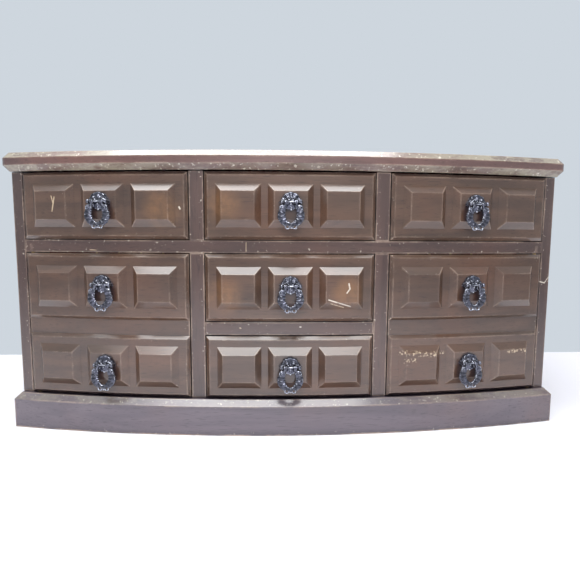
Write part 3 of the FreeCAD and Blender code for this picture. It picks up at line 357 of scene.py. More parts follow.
def mirror(name):
    """Silvered glass with a little foxing towards its rim."""
    s = Surface(name)
    spots = s.step(s.noise(240.0, 4.0, roughness=0.7), 0.66, 0.74)
    haze = s.noise(30.0, 4.0)
    rim = s.step(s.convex(6 * MM), 0.05, 0.5)
    foxed = s.math("MULTIPLY", spots, rim, clamp=True)
    s.set(Base_Color=s.mix(foxed, linear((226, 231, 233)), linear((96, 92, 84))), Metallic=1.0,
          Roughness=s.step(haze, 0.4, 0.8, 0.015, 0.05))
    return s.material


# Mesh tools

def closed_mesh(name, verts, faces):
    """A mesh in metres, its faces turned to look out."""
    mesh = bpy.data.meshes.new(name)
    mesh.from_pydata([Vector(v) for v in verts], [], faces)
    shell = bmesh.new()
    shell.from_mesh(mesh)
    bmesh.ops.recalc_face_normals(shell, faces=shell.faces)
    shell.to_mesh(mesh)
    shell.free()
    return mesh


def place_piece(name, mesh, material, body, matrix=None, smooth=True):
    """Puts a mesh in the scene with a material, riding on a body."""
    obj = bpy.data.objects.new(name, mesh)
    bpy.context.scene.collection.objects.link(obj)
    if matrix is not None:
        obj.matrix_world = matrix
    if not mesh.materials:
        mesh.materials.append(material)
    if smooth:
        mesh.shade_smooth()
    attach(obj, body)
    return obj


class Solid:
    """Vertices and faces gathered from closed forms, in millimetres."""

    def __init__(self):
        self.verts = []
        self.faces = []

    def rings(self, rings, closed=False):
        """Joins rings of equal count into a skin, capped at both ends unless closed."""
        start = len(self.verts)
        count = len(rings[0])
        for ring in rings:
            self.verts.extend(ring)
        spans = len(rings) if closed else len(rings) - 1
        for i in range(spans):
            low = start + i * count
            high = start + ((i + 1) % len(rings)) * count
            for k in range(count):
                nxt = (k + 1) % count
                self.faces.append((low + k, low + nxt, high + nxt, high + k))
        if not closed:
            self.faces.append(tuple(range(start + count - 1, start - 1, -1)))
            last = start + (len(rings) - 1) * count
            self.faces.append(tuple(range(last, last + count)))

    def tube(self, path, width, depth, around, closed=False):
        """A tube along path, points (x, out, z) in one upright plane. Width is in the plane."""
        rings = []
        total = len(path)
        for i, point in enumerate(path):
            before = Vector(path[i - 1] if (i or closed) else path[0])
            after = Vector(path[(i + 1) % total] if (i < total - 1 or closed) else path[-1])
            run = (after - before).normalized()
            side = Vector((-run.z, 0, run.x)).normalized()
            w = width(i / (total - 1)) if callable(width) else width
            d = depth(i / (total - 1)) if callable(depth) else depth
            ring = []
            for k in range(around):
                angle = 2 * math.pi * k / around
                offset = side * (w * math.cos(angle)) + Vector((0, d * math.sin(angle), 0))
                ring.append(Vector(point) + offset)
            rings.append(ring)
        self.rings(rings, closed)

    def turned(self, profile, centre, axis, around):
        """A turned form about "out" or "x": profile is (distance along it, radius), end to end."""
        rings = []
        for along, radius in profile:
            ring = []
            for k in range(around):
                angle = 2 * math.pi * k / around
                a, b = radius * math.cos(angle), radius * math.sin(angle)
                offset = (a, along, b) if axis == "out" else (along, a, b)
                ring.append(Vector(centre) + Vector(offset))
            rings.append(ring)
        self.rings(rings)

    def bead(self, centre, radius, squash=1.0):
        """A ball with blunt poles, flattened towards the viewer by squash."""
        steps = 8
        profile = []
        for i in range(steps + 1):
            angle = math.pi * (i / steps - 0.5) * 0.97
            profile.append((radius * squash * math.sin(angle), radius * math.cos(angle)))
        self.turned(profile, centre, "out", 14)

    def mesh(self, name):
        """The gathered forms as a mesh. Here out is towards the viewer, so it becomes -Y."""
        verts = [(v[0] * MM, -v[1] * MM, v[2] * MM) for v in self.verts]
        return closed_mesh(name, verts, self.faces)


def cast(mesh, voxel, faces):
    """Runs the overlapping forms of a mesh together into one skin, as a casting has."""
    obj = bpy.data.objects.new(mesh.name + "_pattern", mesh)
    bpy.context.scene.collection.objects.link(obj)
    remesh = obj.modifiers.new("skin", "REMESH")
    remesh.mode = "VOXEL"
    remesh.voxel_size = voxel
    soften = obj.modifiers.new("soften", "SMOOTH")
    soften.factor = 0.4
    soften.iterations = 1
    bpy.context.view_layer.update()
    dense = len(obj.evaluated_get(bpy.context.evaluated_depsgraph_get()).data.polygons)
    thin = obj.modifiers.new("thin", "DECIMATE")
    thin.ratio = min(1.0, faces / dense / 2)
    evaluated = obj.evaluated_get(bpy.context.evaluated_depsgraph_get())
    skin = bpy.data.meshes.new_from_object(evaluated)
    skin.name = mesh.name
    bpy.data.objects.remove(obj)
    return skin


# CAD nodes that stay: soft edges and a finish

def dress(names, material, bevel):
    """Gives CAD nodes a finish and bevels of a width in millimetres."""
    for name in names:
        obj = frame["nodes"][name]
        mesh = obj.data
        if "custom_normal" in mesh.attributes:
            mesh.attributes.remove(mesh.attributes["custom_normal"])
        mesh.shade_smooth()
        mesh.materials.clear()
        mesh.materials.append(material)
        weld = obj.modifiers.new("weld", "WELD")
        weld.merge_threshold = 0.002 * MM
        edge = obj.modifiers.new("soft_edges", "BEVEL")
        edge.width = bevel * MM
        edge.segments = 2
        edge.limit_method = "ANGLE"
        edge.angle_limit = math.radians(28)
        edge.harden_normals = True
        edge.use_clamp_overlap = True
        normals = obj.modifiers.new("normals", "WEIGHTED_NORMAL")
        normals.keep_sharp = False


# The bow of the front, read from the pulls' hinges, which all stand on one circle.

side_pull = JOINTS["top_right_pull_hinge"]
middle_pull = JOINTS["top_middle_pull_hinge"]
PULL_RADIUS = side_pull["pos_m"][0] / abs(side_pull["axis"][1])
BOW_CENTRE_Y = middle_pull["pos_m"][1] + PULL_RADIUS


def bow_y(x, radius):
    """Y of an arc about the bow's centre."""
    return BOW_CENTRE_Y - math.sqrt(radius * radius - x * x)


# Pulls, in millimetres about the pin: x to the right, out towards the viewer, z up.
# The plate's faces, the shell's centre, the pin's ends and the ring come from the CAD nodes.

pin = Vector(middle_pull["pos_m"])
plate_low, plate_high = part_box("top_middle_plate")
bail_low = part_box("top_middle_bail")[0]
PLATE_BACK = (plate_high.y - pin.y) / MM
PLATE_FRONT = PLATE_BACK - 1.5
SHELL_CENTRE = (plate_high.z - pin.z) / MM - 7.6
PIN_END = (plate_high.x - plate_low.x) / MM / 2 - 1.0
RING_DROP = (pin.z - bail_low.z) / MM - 10.5

# The shell's rim: reach of the crown and depth of its scallops, reach and half width of the tongue,
# and the angle from straight down at which the tongue opens into the crown.
CROWN_REACH, CROWN_SCALLOP = 6.5, 0.5
TONGUE_REACH, TONGUE_HALF_WIDTH, TONGUE_OPENS = 5.6, 3.2, 0.85


def shell_reach(angle, lobes):
    """How far the rim lies from the shell's centre: a scalloped fan above, a tongue below."""
    up = max(0.0, math.cos(angle))
    low = math.pi - abs(angle - 2 * math.pi * round(angle / (2 * math.pi)))
    if low >= math.pi / 2:
        return CROWN_REACH + CROWN_SCALLOP * abs(math.cos(lobes * angle / 2)) * up ** 0.5
    tongue = min(TONGUE_REACH, TONGUE_HALF_WIDTH / max(0.05, math.sin(low)))
    opened = max(0.0, (low - TONGUE_OPENS) / (math.pi / 2 - TONGUE_OPENS))
    return tongue + (CROWN_REACH - tongue) * opened * opened * (3 - 2 * opened)


def shell_plate():
    """A fluted shell over a tongue, with beads, leaves, curls and an ear at each pin end."""
    form = Solid()
    lobes, spokes, rings = 9, 126, 12
    dome_rise, flute_depth, rim_rise, turned_down = 1.5, 0.24, 0.5, 0.9
    eye_from_middle, eye_up, eye_radius = 2.3, 2.7, 1.1
    ear = [(-0.9, 0.7), (-0.6, 1.25), (0.0, 1.6), (0.7, 1.45), (1.1, 1.0), (1.3, 0.3)]
    curl_from_middle, curl_down, curl_radius = 4.2, 2.0, 1.9
    back, out, centre_z = -PLATE_BACK, -PLATE_FRONT, SHELL_CENTRE
    front = []
    for r in range(1, rings + 1):
        share = r / rings
        ring = []
        for k in range(spokes):
            angle = 2 * math.pi * k / spokes
            up = max(0.0, math.cos(angle))
            reach = shell_reach(angle, lobes)
            dome = dome_rise * (1 - share ** 2.4)
            flute = (flute_depth * math.cos(lobes * angle) * share * (1.15 - share) * 2.4
                     * up ** 0.6)
            rim = rim_rise * math.exp(-((share - 0.9) / 0.07) ** 2)
            height = out + dome + flute + rim - turned_down * max(0.0, share - 0.94) / 0.06
            across, above = reach * share * math.sin(angle), reach * share * math.cos(angle)
            ring.append((across, height, centre_z + above))
        front.append(ring)
    floor = [(x, back, z) for x, _, z in front[-1]]
    form.rings([floor, *reversed(front)])
    for side in (-1, 1):
        form.bead((side * eye_from_middle, out + 1.9, centre_z + eye_up), eye_radius, 0.85)
        form.turned(ear, (side * PIN_END, 0.0, 0.0), "x", 18)
        post = [(back + 0.2, 1.6), (-1.2, 1.3), (0.2, 0.9)]
        form.turned(post, (side * PIN_END, 0.0, 0.0), "out", 14)
        leaf = []
        for i in range(15):
            share = i / 14
            leaf.append((side * (0.9 + 4.6 * share), out + 1.7 - 0.9 * share,
                         centre_z + 0.9 + 0.9 * math.sin(share * 3.0)))
        form.tube(leaf, lambda t: 0.25 + 0.6 * math.sin(math.pi * min(1.0, t * 1.1)), 0.75, 10)
        curl = []
        for i in range(24):
            turn = i / 23
            angle = math.pi * (0.35 - 1.5 * turn)
            radius = curl_radius * (1 - 0.5 * turn)
            curl.append((side * (curl_from_middle + radius * math.cos(angle)),
                         out + 0.9 - 0.4 * turn,
                         centre_z - curl_down + radius * math.sin(angle)))
        form.tube(curl, lambda t: 0.62 - 0.2 * t, 0.7, 10)
    for i, level in enumerate((-1.6, -3.4, -5.1)):
        form.bead((0, out + 1.25 - 0.3 * i, centre_z + level), 1.0 - 0.17 * i, 0.8)
    return form.mesh("pull_plate_form")


def ornate_bail():
    """A ribbed horseshoe with a scroll at each shoulder, leaves inside and two rings below."""
    form = Solid()
    pin_radius = 0.62
    form.turned([(-PIN_END - 0.3, pin_radius), (PIN_END + 0.3, pin_radius)], (0, 0, 0), "x", 14)
    ring_z = -RING_DROP
    leg_from_middle, leg_spread, leg_drop = 3.5, 1.6, 4.6
    knuckle = [(-1.3, 0.8), (-0.9, 1.3), (0.9, 1.3), (1.3, 0.8)]
    scroll_from_middle, scroll_down, scroll_radius = 5.9, 4.4, 2.15
    band_across, band_up, edge_across, edge_up, ribs = 6.35, 6.0, 8.35, 7.75, 5.5
    loop_from_middle, loop_down, loop_radius = 2.4, 7.6, 1.3

    shares = [i / 12 for i in range(13)]

    def rib(t):
        return abs(math.sin(math.pi * ribs * t))

    def band_width(t):
        swell = math.sin(math.pi * min(1.0, 1.1 * t)) ** 0.7
        return (1.35 + 1.55 * swell) * (0.62 + 0.38 * rib(t) ** 0.6)

    def band_depth(t):
        return 1.3 * (0.5 + 0.5 * rib(t) ** 0.6)

    for side in (-1, 1):
        form.turned(knuckle, (side * leg_from_middle, 0, 0), "x", 16)
        neck = [(side * (leg_from_middle + leg_spread * share ** 1.5), 0.15 * share,
                 -leg_drop * share) for share in shares]
        form.tube(neck, lambda t: 1.05 - 0.2 * math.sin(math.pi * t), 0.95, 12)
        scroll = []
        for i in range(40):
            turn = i / 39
            angle = math.pi * (1.05 - 2.7 * turn)
            radius = scroll_radius * (1 - 0.68 * turn)
            scroll.append((side * (scroll_from_middle + radius * math.cos(angle)),
                           0.15 + 0.3 * turn,
                           -scroll_down + radius * math.sin(angle)))
        form.tube(scroll, lambda t: 0.62 - 0.16 * t, 0.85, 10)
        form.bead((side * scroll_from_middle, 0.45, -scroll_down), 0.95)
        band, edge = [], []
        for i in range(111):
            angle = math.radians(38 + 140 * (i / 110))
            across, above = math.sin(angle), math.cos(angle)
            band.append((side * band_across * across, 0.0, ring_z + band_up * above))
            edge.append((side * edge_across * across, 0.0, ring_z + edge_up * above))
        form.tube(band, band_width, band_depth, 14)
        form.tube(edge[12:88], lambda t: 0.32 + 0.48 * rib(t), 0.75, 8)
        loop = []
        for i in range(26):
            angle = 2 * math.pi * i / 26
            loop.append((side * loop_from_middle + loop_radius * math.cos(angle), 0.15,
                         ring_z - loop_down + loop_radius * math.sin(angle)))
        form.tube(loop, 0.55, 0.75, 10, closed=True)
        leaf = [(side * (0.4 + 3.4 * share), 0.65,
                 ring_z - 5.6 + 0.9 * math.sin(3.0 * share) - 0.6 * share) for share in shares]
        form.tube(leaf, lambda t: 0.2 + 0.55 * math.sin(math.pi * t), 0.6, 10)
    form.bead((0, 0.45, ring_z - 6.4), 1.1)
    form.bead((0, 0.2, ring_z - 8.2), 0.7)
    return form.mesh("pull_bail_form")


def build_pulls(material):
    """One plate and one bail, cast once and hung at each of the nine pull hinges."""
    plate_mesh = cast(shell_plate(), 0.17 * MM, 9000)
    bail_mesh = cast(ornate_bail(), 0.17 * MM, 14000)
    for name, joint in JOINTS.items():
        if not name.endswith("_pull_hinge"):
            continue
        place = name[:-len("_pull_hinge")]
        across = -Vector(joint["axis"])
        turn = math.atan2(across.y, across.x)
        matrix = Matrix.Translation(Vector(joint["pos_m"])) @ Matrix.Rotation(turn, 4, "Z")
        plate = place_piece(f"{place}_shell_plate", plate_mesh, material, joint["parent"], matrix)
        bail = place_piece(f"{place}_drop_bail", bail_mesh, material, joint["child"], matrix)
        plate_node = f"{place}_plate"
        if plate_node not in frame["nodes"]:
            # A door's two plates are one node.
            plate_node = f"door_{place.split('_')[1]}_plates"
        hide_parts(plate_node)
        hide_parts(f"{place}_bail")


# Linings: velvet-faced card in the drawer boxes and in the side compartments.

def drawer_lining(drawer, material):
    """A velvet-faced card tray inside a drawer box, bowed at the front as the box is."""
    wall, floor, thick, drop, soft, gap = (part * MM for part in (4.0, 3.0, 0.7, 2.5, 0.5, 0.1))
    low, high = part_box(f"{drawer}_box")
    left, right, back = low.x + wall, high.x - wall, high.y - wall
    nearest_x = 0.0 if low.x < 0 < high.x else min(abs(low.x), abs(high.x))
    radius = math.hypot(nearest_x, BOW_CENTRE_Y - low.y) - wall
    bottom, top = low.z + floor, high.z - drop

    def outline(inset):
        points = []
        corner = 2.5 * MM
        columns = 14
        x0, x1, y1 = left + inset, right - inset, back - inset
        for i in range(columns + 1):
            x = x0 + (x1 - x0) * i / columns
            points.append((x, bow_y(x, radius - inset)))
        for centre_x, start in ((x1 - corner, 0), (x0 + corner, 90)):
            for i in range(5):
                angle = math.radians(start + 90 * i / 4)
                points.append((centre_x + corner * math.cos(angle),
                               y1 - corner + corner * math.sin(angle)))
        return points

    outer, inner, deep_inner = outline(gap), outline(gap + thick), outline(gap + thick + soft)
    rim = top - 0.3 * MM
    levels = [(outer, bottom + gap), (outer, rim), (outer, top), (inner, top), (inner, rim),
              (inner, bottom + gap + 2.0 * thick), (deep_inner, bottom + gap + thick)]
    verts, faces = [], []
    count = len(outer)
    for points, z in levels:
        verts.extend((x, y, z) for x, y in points)
    for i in range(len(levels) - 1):
        for k in range(count):
            nxt = (k + 1) % count
            here, above = i * count, (i + 1) * count
            faces.append((here + k, here + nxt, above + nxt, above + k))
    faces.append(tuple(range(count)))
    last = (len(levels) - 1) * count
    faces.append(tuple(range(last, last + count)))
    name = f"{drawer}_lining"
    mesh = closed_mesh(name, verts, faces)
    obj = place_piece(name, mesh, material, BODY_OF[f"{drawer}_box"], smooth=False)
    obj.data.set_sharp_from_angle(angle=math.radians(50))


def card(form, low, high):
    """Adds a plain card with softened edges, its two corners given in millimetres."""
    soft = 0.25
    rings = []
    for z, inset in ((low[2], soft), (low[2] + soft, 0.0), (high[2] - soft, 0.0), (high[2], soft)):
        x0, x1, y0, y1 = low[0] + inset, high[0] - inset, low[1] + inset, high[1] - inset
        rings.append([Vector((x, -y, z)) for x, y in ((x0, y0), (x1, y0), (x1, y1), (x0, y1))])
    form.rings(rings)


def cupboard_lining(side, material):
    """Floor, back and two side cards in a side compartment, clear of the door's hooks."""
    thick, gap, from_front = 0.8, 0.15, 42.0
    sign = -1 if side == "left" else 1
    shelf_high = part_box("bottom_board")[1]
    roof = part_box("dust_board")[0].z / MM
    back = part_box("back_panel")[0].y / MM - gap
    outer = shelf_high.x / MM - gap
    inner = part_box("partitions")[1].x / MM + gap
    floor = shelf_high.z / MM + gap
    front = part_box("dust_board")[0].y / MM + from_front
    form = Solid()

    def across(a, b):
        return (a, b) if sign > 0 else (-b, -a)

    x0, x1 = across(inner, outer)
    card(form, (x0, front, floor), (x1, back, floor + thick))
    card(form, (x0, back - thick, floor + thick), (x1, back, roof - gap))
    for a, b in ((inner, inner + thick), (outer - thick, outer)):
        x0, x1 = across(a, b)
        card(form, (x0, front, floor + thick), (x1, back - thick, roof - gap))
    name = f"{side}_cupboard_lining"
    obj = place_piece(name, form.mesh(name), material, "case", smooth=False)


# Ring rolls: five stuffed velvet rolls side by side, their ends drawn in.

def ring_rolls(material):
    low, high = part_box("ring_rolls")
    count = 5
    radius = (high.z - low.z) / 2
    pitch = (high.y - low.y - 2 * radius) / (count - 1)
    around, along, end_rings = 40, 72, 5
    pleats, pleat_depth, wobble_depth = 16, 0.04, 0.03
    slit_at, slit_depth = math.pi / 2 - 0.95, 0.10
    for i in range(count):
        centre_y = low.y + radius + i * pitch
        verts, faces = [], []
        for a in range(along + 1):
            share = a / along
            x = low.x + (high.x - low.x) * share
            end = min(share, 1 - share) * along / end_rings
            drawn = math.sqrt(max(0.0, 1 - (1 - min(1.0, end)) ** 2)) * 0.86 + 0.13
            for k in range(around):
                angle = 2 * math.pi * k / around
                wobble = noise.noise(Vector((x * 90, angle * 0.9 + i * 7.3, i * 3.1)))
                pleat = pleat_depth * math.cos(pleats * angle) * (1 - min(1.0, end / 1.6))
                slit = slit_depth * math.exp(-((angle - slit_at) / 0.10) ** 2)
                r = radius * drawn * (0.965 + wobble_depth * wobble + pleat - slit)
                verts.append((x, centre_y + r * math.cos(angle),
                              low.z + radius + r * math.sin(angle)))
        for a in range(along):
            for k in range(around):
                nxt = (k + 1) % around
                here, beyond = a * around, (a + 1) * around
                faces.append((here + k, here + nxt, beyond + nxt, beyond + k))
        faces.append(tuple(range(around)))
        faces.append(tuple(range(along * around, (along + 1) * around)))
        name = f"ring_roll_{i + 1}"
        roll = place_piece(name, closed_mesh(name, verts, faces), material, "case")
        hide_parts("ring_rolls")


# Screws: domed heads with a sawn slot.

def screw_head(form, centre, radius, rise, axis, turn):
    """Adds one head. The matrix axis takes Y to the face's outward side, turn is the slot's."""
    spokes, rings = 40, 8
    half_slot = radius * 0.16
    grid = []
    for r in range(rings, 0, -1):
        share = r / rings
        ring = []
        for k in range(spokes):
            angle = 2 * math.pi * k / spokes
            a, b = radius * share * math.cos(angle), radius * share * math.sin(angle)
            across = a * math.cos(turn) + b * math.sin(turn)
            height = rise * (1 - 0.75 * share ** 2)
            if abs(across) < half_slot and share < 0.999:
                height = min(height, rise * 0.1)
            ring.append((a, height, b))
        grid.append(ring)
    base = [(a, 0.0, b) for a, _, b in grid[0]]
    skin = [[Vector(centre) + axis @ Vector(p) for p in ring] for ring in (base, *grid)]
    form.rings(skin)


def screws(name, places, radius, rise, normal, material, body):
    """Slotted heads at places, points in metres on a face whose outward side is normal."""
    form = Solid()
    axis = Vector(normal).to_track_quat("Y", "Z").to_matrix()
    rng = random.Random(len(name))
    for place in places:
        centre = Vector((place[0] / MM, -place[1] / MM, place[2] / MM))
        mirrored = Matrix(((1, 0, 0), (0, -1, 0), (0, 0, 1)))
        screw_head(form, centre, radius, rise, mirrored @ axis, rng.uniform(0, math.pi))
    obj = place_piece(name, form.mesh(name), material, body)
    obj.data.set_sharp_from_angle(angle=math.radians(35))
    return obj


def drum_pins(material):
    """The tune: rows of fine pins round the drum, one column under each tooth of the comb."""
    low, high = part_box("music_drum")
    joint = JOINTS["drum_turn"]
    centre = Vector(joint["pos_m"]) / MM
    comb_low, comb_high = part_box("music_comb")
    teeth, pins_per_tooth, beats = 18, 13, 48
    pin_profile = ((-0.15, 0.13), (0.22, 0.13), (0.29, 0.07))
    start, length = comb_low.x / MM, (comb_high.x - comb_low.x) / MM
    radius = (high.z - low.z) / 2 / MM
    rng = random.Random(11)
    form = Solid()
    for tooth in range(teeth):
        x = start + (tooth + 0.35) * length / teeth
        for _ in range(pins_per_tooth):
            angle = 2 * math.pi * rng.randrange(beats) / beats
            outward = Vector((0, math.cos(angle), math.sin(angle)))
            side = Vector((0, -math.sin(angle), math.cos(angle)))
            rings = []
            for reach, half in pin_profile:
                point = Vector((x, centre.y, centre.z)) + outward * (radius + reach)
                ring = []
                for k in range(6):
                    a = 2 * math.pi * k / 6
                    ring.append(point + Vector((half * math.cos(a), 0, 0))
                                + side * (half * math.sin(a)))
                rings.append(ring)
            form.rings([[Vector((p.x, -p.y, p.z)) for p in ring] for ring in rings])
    obj = place_piece("tune_pins", form.mesh("tune_pins"), material, joint["child"], smooth=False)


# Finishes

FRONT_LIGHT, FRONT_DARK = (84, 62, 49), (65, 48, 38)
CASE_LIGHT, CASE_DARK = (80, 60, 54), (64, 48, 44)
# The plinth's wood is lighter and bluer than the rest: its own tone with painted reflection of the
# pale table.
PLINTH_LIGHT, PLINTH_DARK = (96, 86, 94), (80, 71, 80)
LID_LIGHT, LID_DARK = (100, 74, 69), (80, 58, 55)
INNER_LIGHT, INNER_DARK = (150, 118, 84), (120, 92, 64)
VELVET, VELVET_SHADE = (122, 26, 36), (72, 12, 20)
PALE, TAN = (206, 196, 180), (176, 156, 128)

# Scratches and nicks: start and end (x, z) and half width in millimetres, and the bared wood's
# colour.
FRONT_MARKS = (
    ((-164.4, 166.5), (-163.2, 161.8), 0.5, TAN),
    ((-162.2, 165.9), (-164.2, 156.4), 0.6, TAN),
    ((26.5, 96.3), (41.9, 91.4), 0.55, PALE),
    ((28.0, 93.6), (37.1, 90.7), 0.45, TAN),
    ((40.3, 107.4), (41.0, 103.9), 0.7, PALE),
    ((41.0, 103.9), (39.0, 101.1), 0.6, PALE),
    ((-75.8, 159.2), (-75.2, 158.0), 0.7, PALE),
)
# Patches where the lacquer is speckled with small chips, given like the marks.
FRONT_SCUFFS = (
    ((80.0, 57.6), (104.0, 56.4), 2.6, TAN),
    ((82.0, 51.8), (90.0, 52.6), 2.0, TAN),
    ((107.0, 56.9), (112.0, 56.4), 1.6, TAN),
    ((161.0, 56.4), (175.5, 56.3), 2.0, TAN),
)
RAIL_MARKS = (
    ((-30.5, 135.4), (-30.6, 129.2), 0.28, TAN),
    ((12.9, 131.1), (13.3, 130.6), 0.6, PALE),
    ((-35.1, 75.7), (-34.5, 75.5), 0.5, TAN),
    ((7.1, 76.4), (7.7, 76.4), 0.5, PALE),
    ((-140.4, 129.8), (-136.0, 129.6), 0.4, TAN),
)
STILE_MARKS = (
    ((180.7, 111.3), (187.0, 107.4), 0.5, PALE),
    ((187.0, 107.4), (193.3, 105.8), 0.6, PALE),
    ((193.3, 105.8), (196.6, 110.0), 0.5, PALE),
)
# Where the lacquer has warmed to orange: centre (x, z) and radius, in metres.
WARM_SPOTS = [((x * MM, z * MM), 17 * MM)
              for x, z in ((-46, 160), (-45, 99), (-87, 158), (40, 100))]

front_wood = wood("front_wood", FRONT_LIGHT, FRONT_DARK, "X", marks=FRONT_MARKS,
                  scuffs=FRONT_SCUFFS, glows=WARM_SPOTS)
rail_wood = wood("rail_wood", CASE_LIGHT, CASE_DARK, "X", marks=RAIL_MARKS)
plinth_wood = wood("plinth_wood", PLINTH_LIGHT, PLINTH_DARK, "X", wear=0.8, bevel_wear=0.35)
stile_wood = wood("stile_wood", CASE_LIGHT, CASE_DARK, "Z", marks=STILE_MARKS)
side_wood = wood("side_wood", CASE_LIGHT, CASE_DARK, "Y")
lid_wood = wood("lid_wood", LID_LIGHT, LID_DARK, "X", wear=0.9, bevel_wear=0.8)
inner_wood = wood("inner_wood", INNER_LIGHT, INNER_DARK, "Y", wear=0.15, gloss=0.55, coat=0.0)
inner_cross_wood = wood("inner_cross_wood", INNER_LIGHT, INNER_DARK, "X", wear=0.15, gloss=0.55,
                        coat=0.0)
velvet = flock("velvet", VELVET, VELVET_SHADE)
pull_metal = antique("antique_metal")
hinge_brass = metal("hinge_brass", (190, 160, 92), (120, 94, 52), 0.30)
movement_brass = metal("movement_brass", (204, 174, 104), (150, 122, 66), 0.24, 0.35)
movement_steel = metal("movement_steel", (186, 188, 192), (128, 130, 134), 0.24, 0.4)
mirror_glass = mirror("mirror_glass")

DRAWERS = ("top_left", "top_middle", "top_right", "centre", "bottom")

dress([*[f"{name}_front" for name in DRAWERS], "door_left", "door_right"], front_wood,
      0.3)
dress(["plinth_front", "plinth_back"], plinth_wood, 1.2)
dress(["upper_rail", "lower_rail"], rail_wood, 0.4)
dress(["end_stiles", "mullions_upper", "mullions_lower"], stile_wood, 0.25)
dress(["side_panels", "plinth_sides"], side_wood, 0.4)
dress(["back_panel"], rail_wood, 0.3)
dress(["lid"], lid_wood, 0.5)
dress(["bottom_board", "dust_board", "drawer_shelf"], inner_cross_wood, 0.2)
dress(["partitions", *[f"{name}_box" for name in DRAWERS]], inner_wood, 0.3)
dress(["top_tray"], velvet, 0.5)
dress(["lid_mirror"], mirror_glass, 0.3)
dress(["hinge_leaves_case", "hinge_leaves_lid", "necklace_hooks", "door_pins"], hinge_brass,
      0.15)
dress(["movement_bedplate", "spring_barrel", "winding_key", "music_drum", "governor_wheel"],
      movement_brass, 0.15)
dress(["music_comb", "governor_fan", "governor_bracket", "stop_rod"], movement_steel,
      0.08)

build_pulls(pull_metal)
for drawer in DRAWERS:
    drawer_lining(drawer, velvet)
for side in ("left", "right"):
    cupboard_lining(side, velvet)
ring_rolls(velvet)
drum_pins(movement_steel)


def hinge_screws():
    """Three heads on each leaf, at a share of the leaves' height."""
    leaf_length, leaf_thickness, pitch = 26 * MM, 1.0 * MM, 8.5
    for body, share in (("case", 0.30), ("lid", 0.76)):
        low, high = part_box(f"hinge_leaves_{body}")
        middle = (high.x - low.x - leaf_length) / 2
        z = low.z + (high.z - low.z) * share
        face_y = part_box("back_panel")[1].y + leaf_thickness
        places = [(side * middle + shift * MM, face_y, z)
                  for side in (-1, 1) for shift in (-pitch, 0, pitch)]
        screws(f"{body}_hinge_screws", places, 1.5, 0.45, (0, 1, 0), hinge_brass, body)


def bed_screws():
    """The movement's four heads: two hold the comb and two the governor's bracket."""
    low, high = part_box("movement_screws")
    radius, rise = 1.3, 1.0
    inset = radius * MM
    places = [(x, high.y, low.z + inset) for x in (low.x + inset, 1.4 * MM)]
    places += [(x * MM, low.y + rise * MM, high.z - inset) for x in (7.5, 17.5)]
    obj = screws("movement_screw_heads", places, radius, rise, (0, -1, 0), movement_steel, "case")
    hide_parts("movement_screws")


hinge_screws()
bed_screws()


# Stage: a pale table to the back of the box, and the wall's colour beyond it.

def seen_rays(tree):
    """1 for the rays that show the background: to the camera, off a gloss or through glass."""
    path = tree.nodes.new("ShaderNodeLightPath")
    seen = path.outputs["Is Camera Ray"]
    for kind in ("Is Glossy Ray", "Is Transmission Ray"):
        either = tree.nodes.new("ShaderNodeMath")
        either.operation = "MAXIMUM"
        tree.links.new(seen, either.inputs[0])
        tree.links.new(path.outputs[kind], either.inputs[1])
        seen = either.outputs[0]
    return seen


def build_stage():
    """A table that takes the box's shadow, and glows in the wall's colour past its edge."""
    s = Surface("table")
    split = s.add("ShaderNodeSeparateXYZ")
    s.feed(split.inputs[0], s.coordinates)
    past_edge = s.step(split.outputs["Y"], WALL_STARTS, WALL_FULL)
    beyond = s.math("MULTIPLY", past_edge, seen_rays(s.tree))
    s.set(Base_Color=linear(TABLE), Roughness=0.5, Specular_IOR_Level=0.3)
    glow = s.add("ShaderNodeEmission")
    glow.inputs["Color"].default_value = linear(WALL)
    blend = s.add("ShaderNodeMixShader")
    s.feed(blend.inputs[0], beyond)
    s.feed(blend.inputs[1], s.shader.outputs[0])
    s.feed(blend.inputs[2], glow.outputs[0])
    s.feed(s.tree.nodes["Material Output"].inputs["Surface"], blend.outputs[0])
    corners = [(x * TABLE_HALF, y * TABLE_HALF, 0) for x, y in ((-1, -1), (1, -1), (1, 1), (-1, 1))]
    mesh = bpy.data.meshes.new("table")
    mesh.from_pydata(corners, [], [(0, 1, 2, 3)])
    mesh.materials.append(s.material)
    floor = bpy.data.objects.new("table", mesh)
    bpy.context.scene.collection.objects.link(floor)


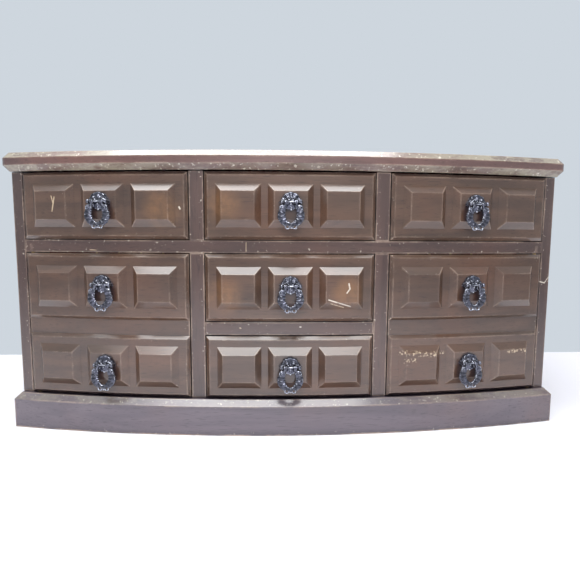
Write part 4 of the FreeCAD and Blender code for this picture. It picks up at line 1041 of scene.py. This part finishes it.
def build_world():
    """Faint cool light from all round, with the wall's colour wherever it is seen."""
    world = bpy.data.worlds.new("studio")
    world.use_nodes = True
    bpy.context.scene.world = world
    tree = world.node_tree
    background = tree.nodes["Background"]
    background.inputs["Color"].default_value = linear(SKY)
    background.inputs["Strength"].default_value = SKY_STRENGTH
    seen = tree.nodes.new("ShaderNodeBackground")
    seen.inputs["Color"].default_value = linear(WALL)
    seen.inputs["Strength"].default_value = 1.0
    mix = tree.nodes.new("ShaderNodeMixShader")
    tree.links.new(seen_rays(tree), mix.inputs[0])
    tree.links.new(background.outputs[0], mix.inputs[1])
    tree.links.new(seen.outputs[0], mix.inputs[2])
    tree.links.new(mix.outputs[0], tree.nodes["World Output"].inputs["Surface"])


def soft_box(name, place, aim, width, height, power, colour=(1, 1, 1)):
    """A rectangular lamp at place that looks at aim."""
    light = bpy.data.lights.new(name, "AREA")
    light.shape = "RECTANGLE"
    light.size, light.size_y = width, height
    light.energy = power
    light.color = colour
    obj = bpy.data.objects.new(name, light)
    obj.location = place
    obj.rotation_euler = (Vector(aim) - Vector(place)).to_track_quat("-Z", "Y").to_euler()
    bpy.context.scene.collection.objects.link(obj)


# Each lamp: name, place, the point it looks at, width and height, all in metres, and its watts.
# The rear one is a little warm.
LAMPS = (
    ("overhead", (-0.08, -0.27, 1.05), (-0.08, -0.27, 0.0), 0.86, 0.82, 16.0),
    ("overhead_left", (-0.62, -0.27, 1.05), (-0.62, -0.27, 0.0), 0.22, 0.82, 1.5),
    ("front", (0.0, -1.5, 0.95), (0.0, 0.0, 0.1), 1.0, 0.7, 4.8),
    ("table_fill", (0.0, -0.56, 0.42), (0.0, -0.28, 0.0), 0.26, 0.2, 1.9),
    ("rear", (0.35, 1.5, 0.75), (0.0, 0.1, 0.1), 0.9, 0.6, 3.5, (1.0, 0.95, 0.9)),
)


def build_camera():
    """The photograph's camera, with the place and lens found from it."""
    data = bpy.data.cameras.new("camera")
    data.sensor_width = SENSOR_WIDTH
    data.lens = CAMERA_FOCAL_PIXELS / IMAGE_SIDE * SENSOR_WIDTH
    data.clip_start = 0.01
    camera = bpy.data.objects.new("camera", data)
    camera.matrix_world = (Matrix.Translation(CAMERA_PLACE) @ Matrix.Rotation(CAMERA_YAW, 4, "Z")
                           @ Matrix.Rotation(math.pi / 2 + CAMERA_PITCH, 4, "X")
                           @ Matrix.Rotation(CAMERA_ROLL, 4, "Z"))
    bpy.context.scene.collection.objects.link(camera)
    bpy.context.scene.camera = camera


build_stage()
build_world()
for lamp in LAMPS:
    soft_box(*lamp)
build_camera()

bpy.context.scene.view_settings.view_transform = "Standard"
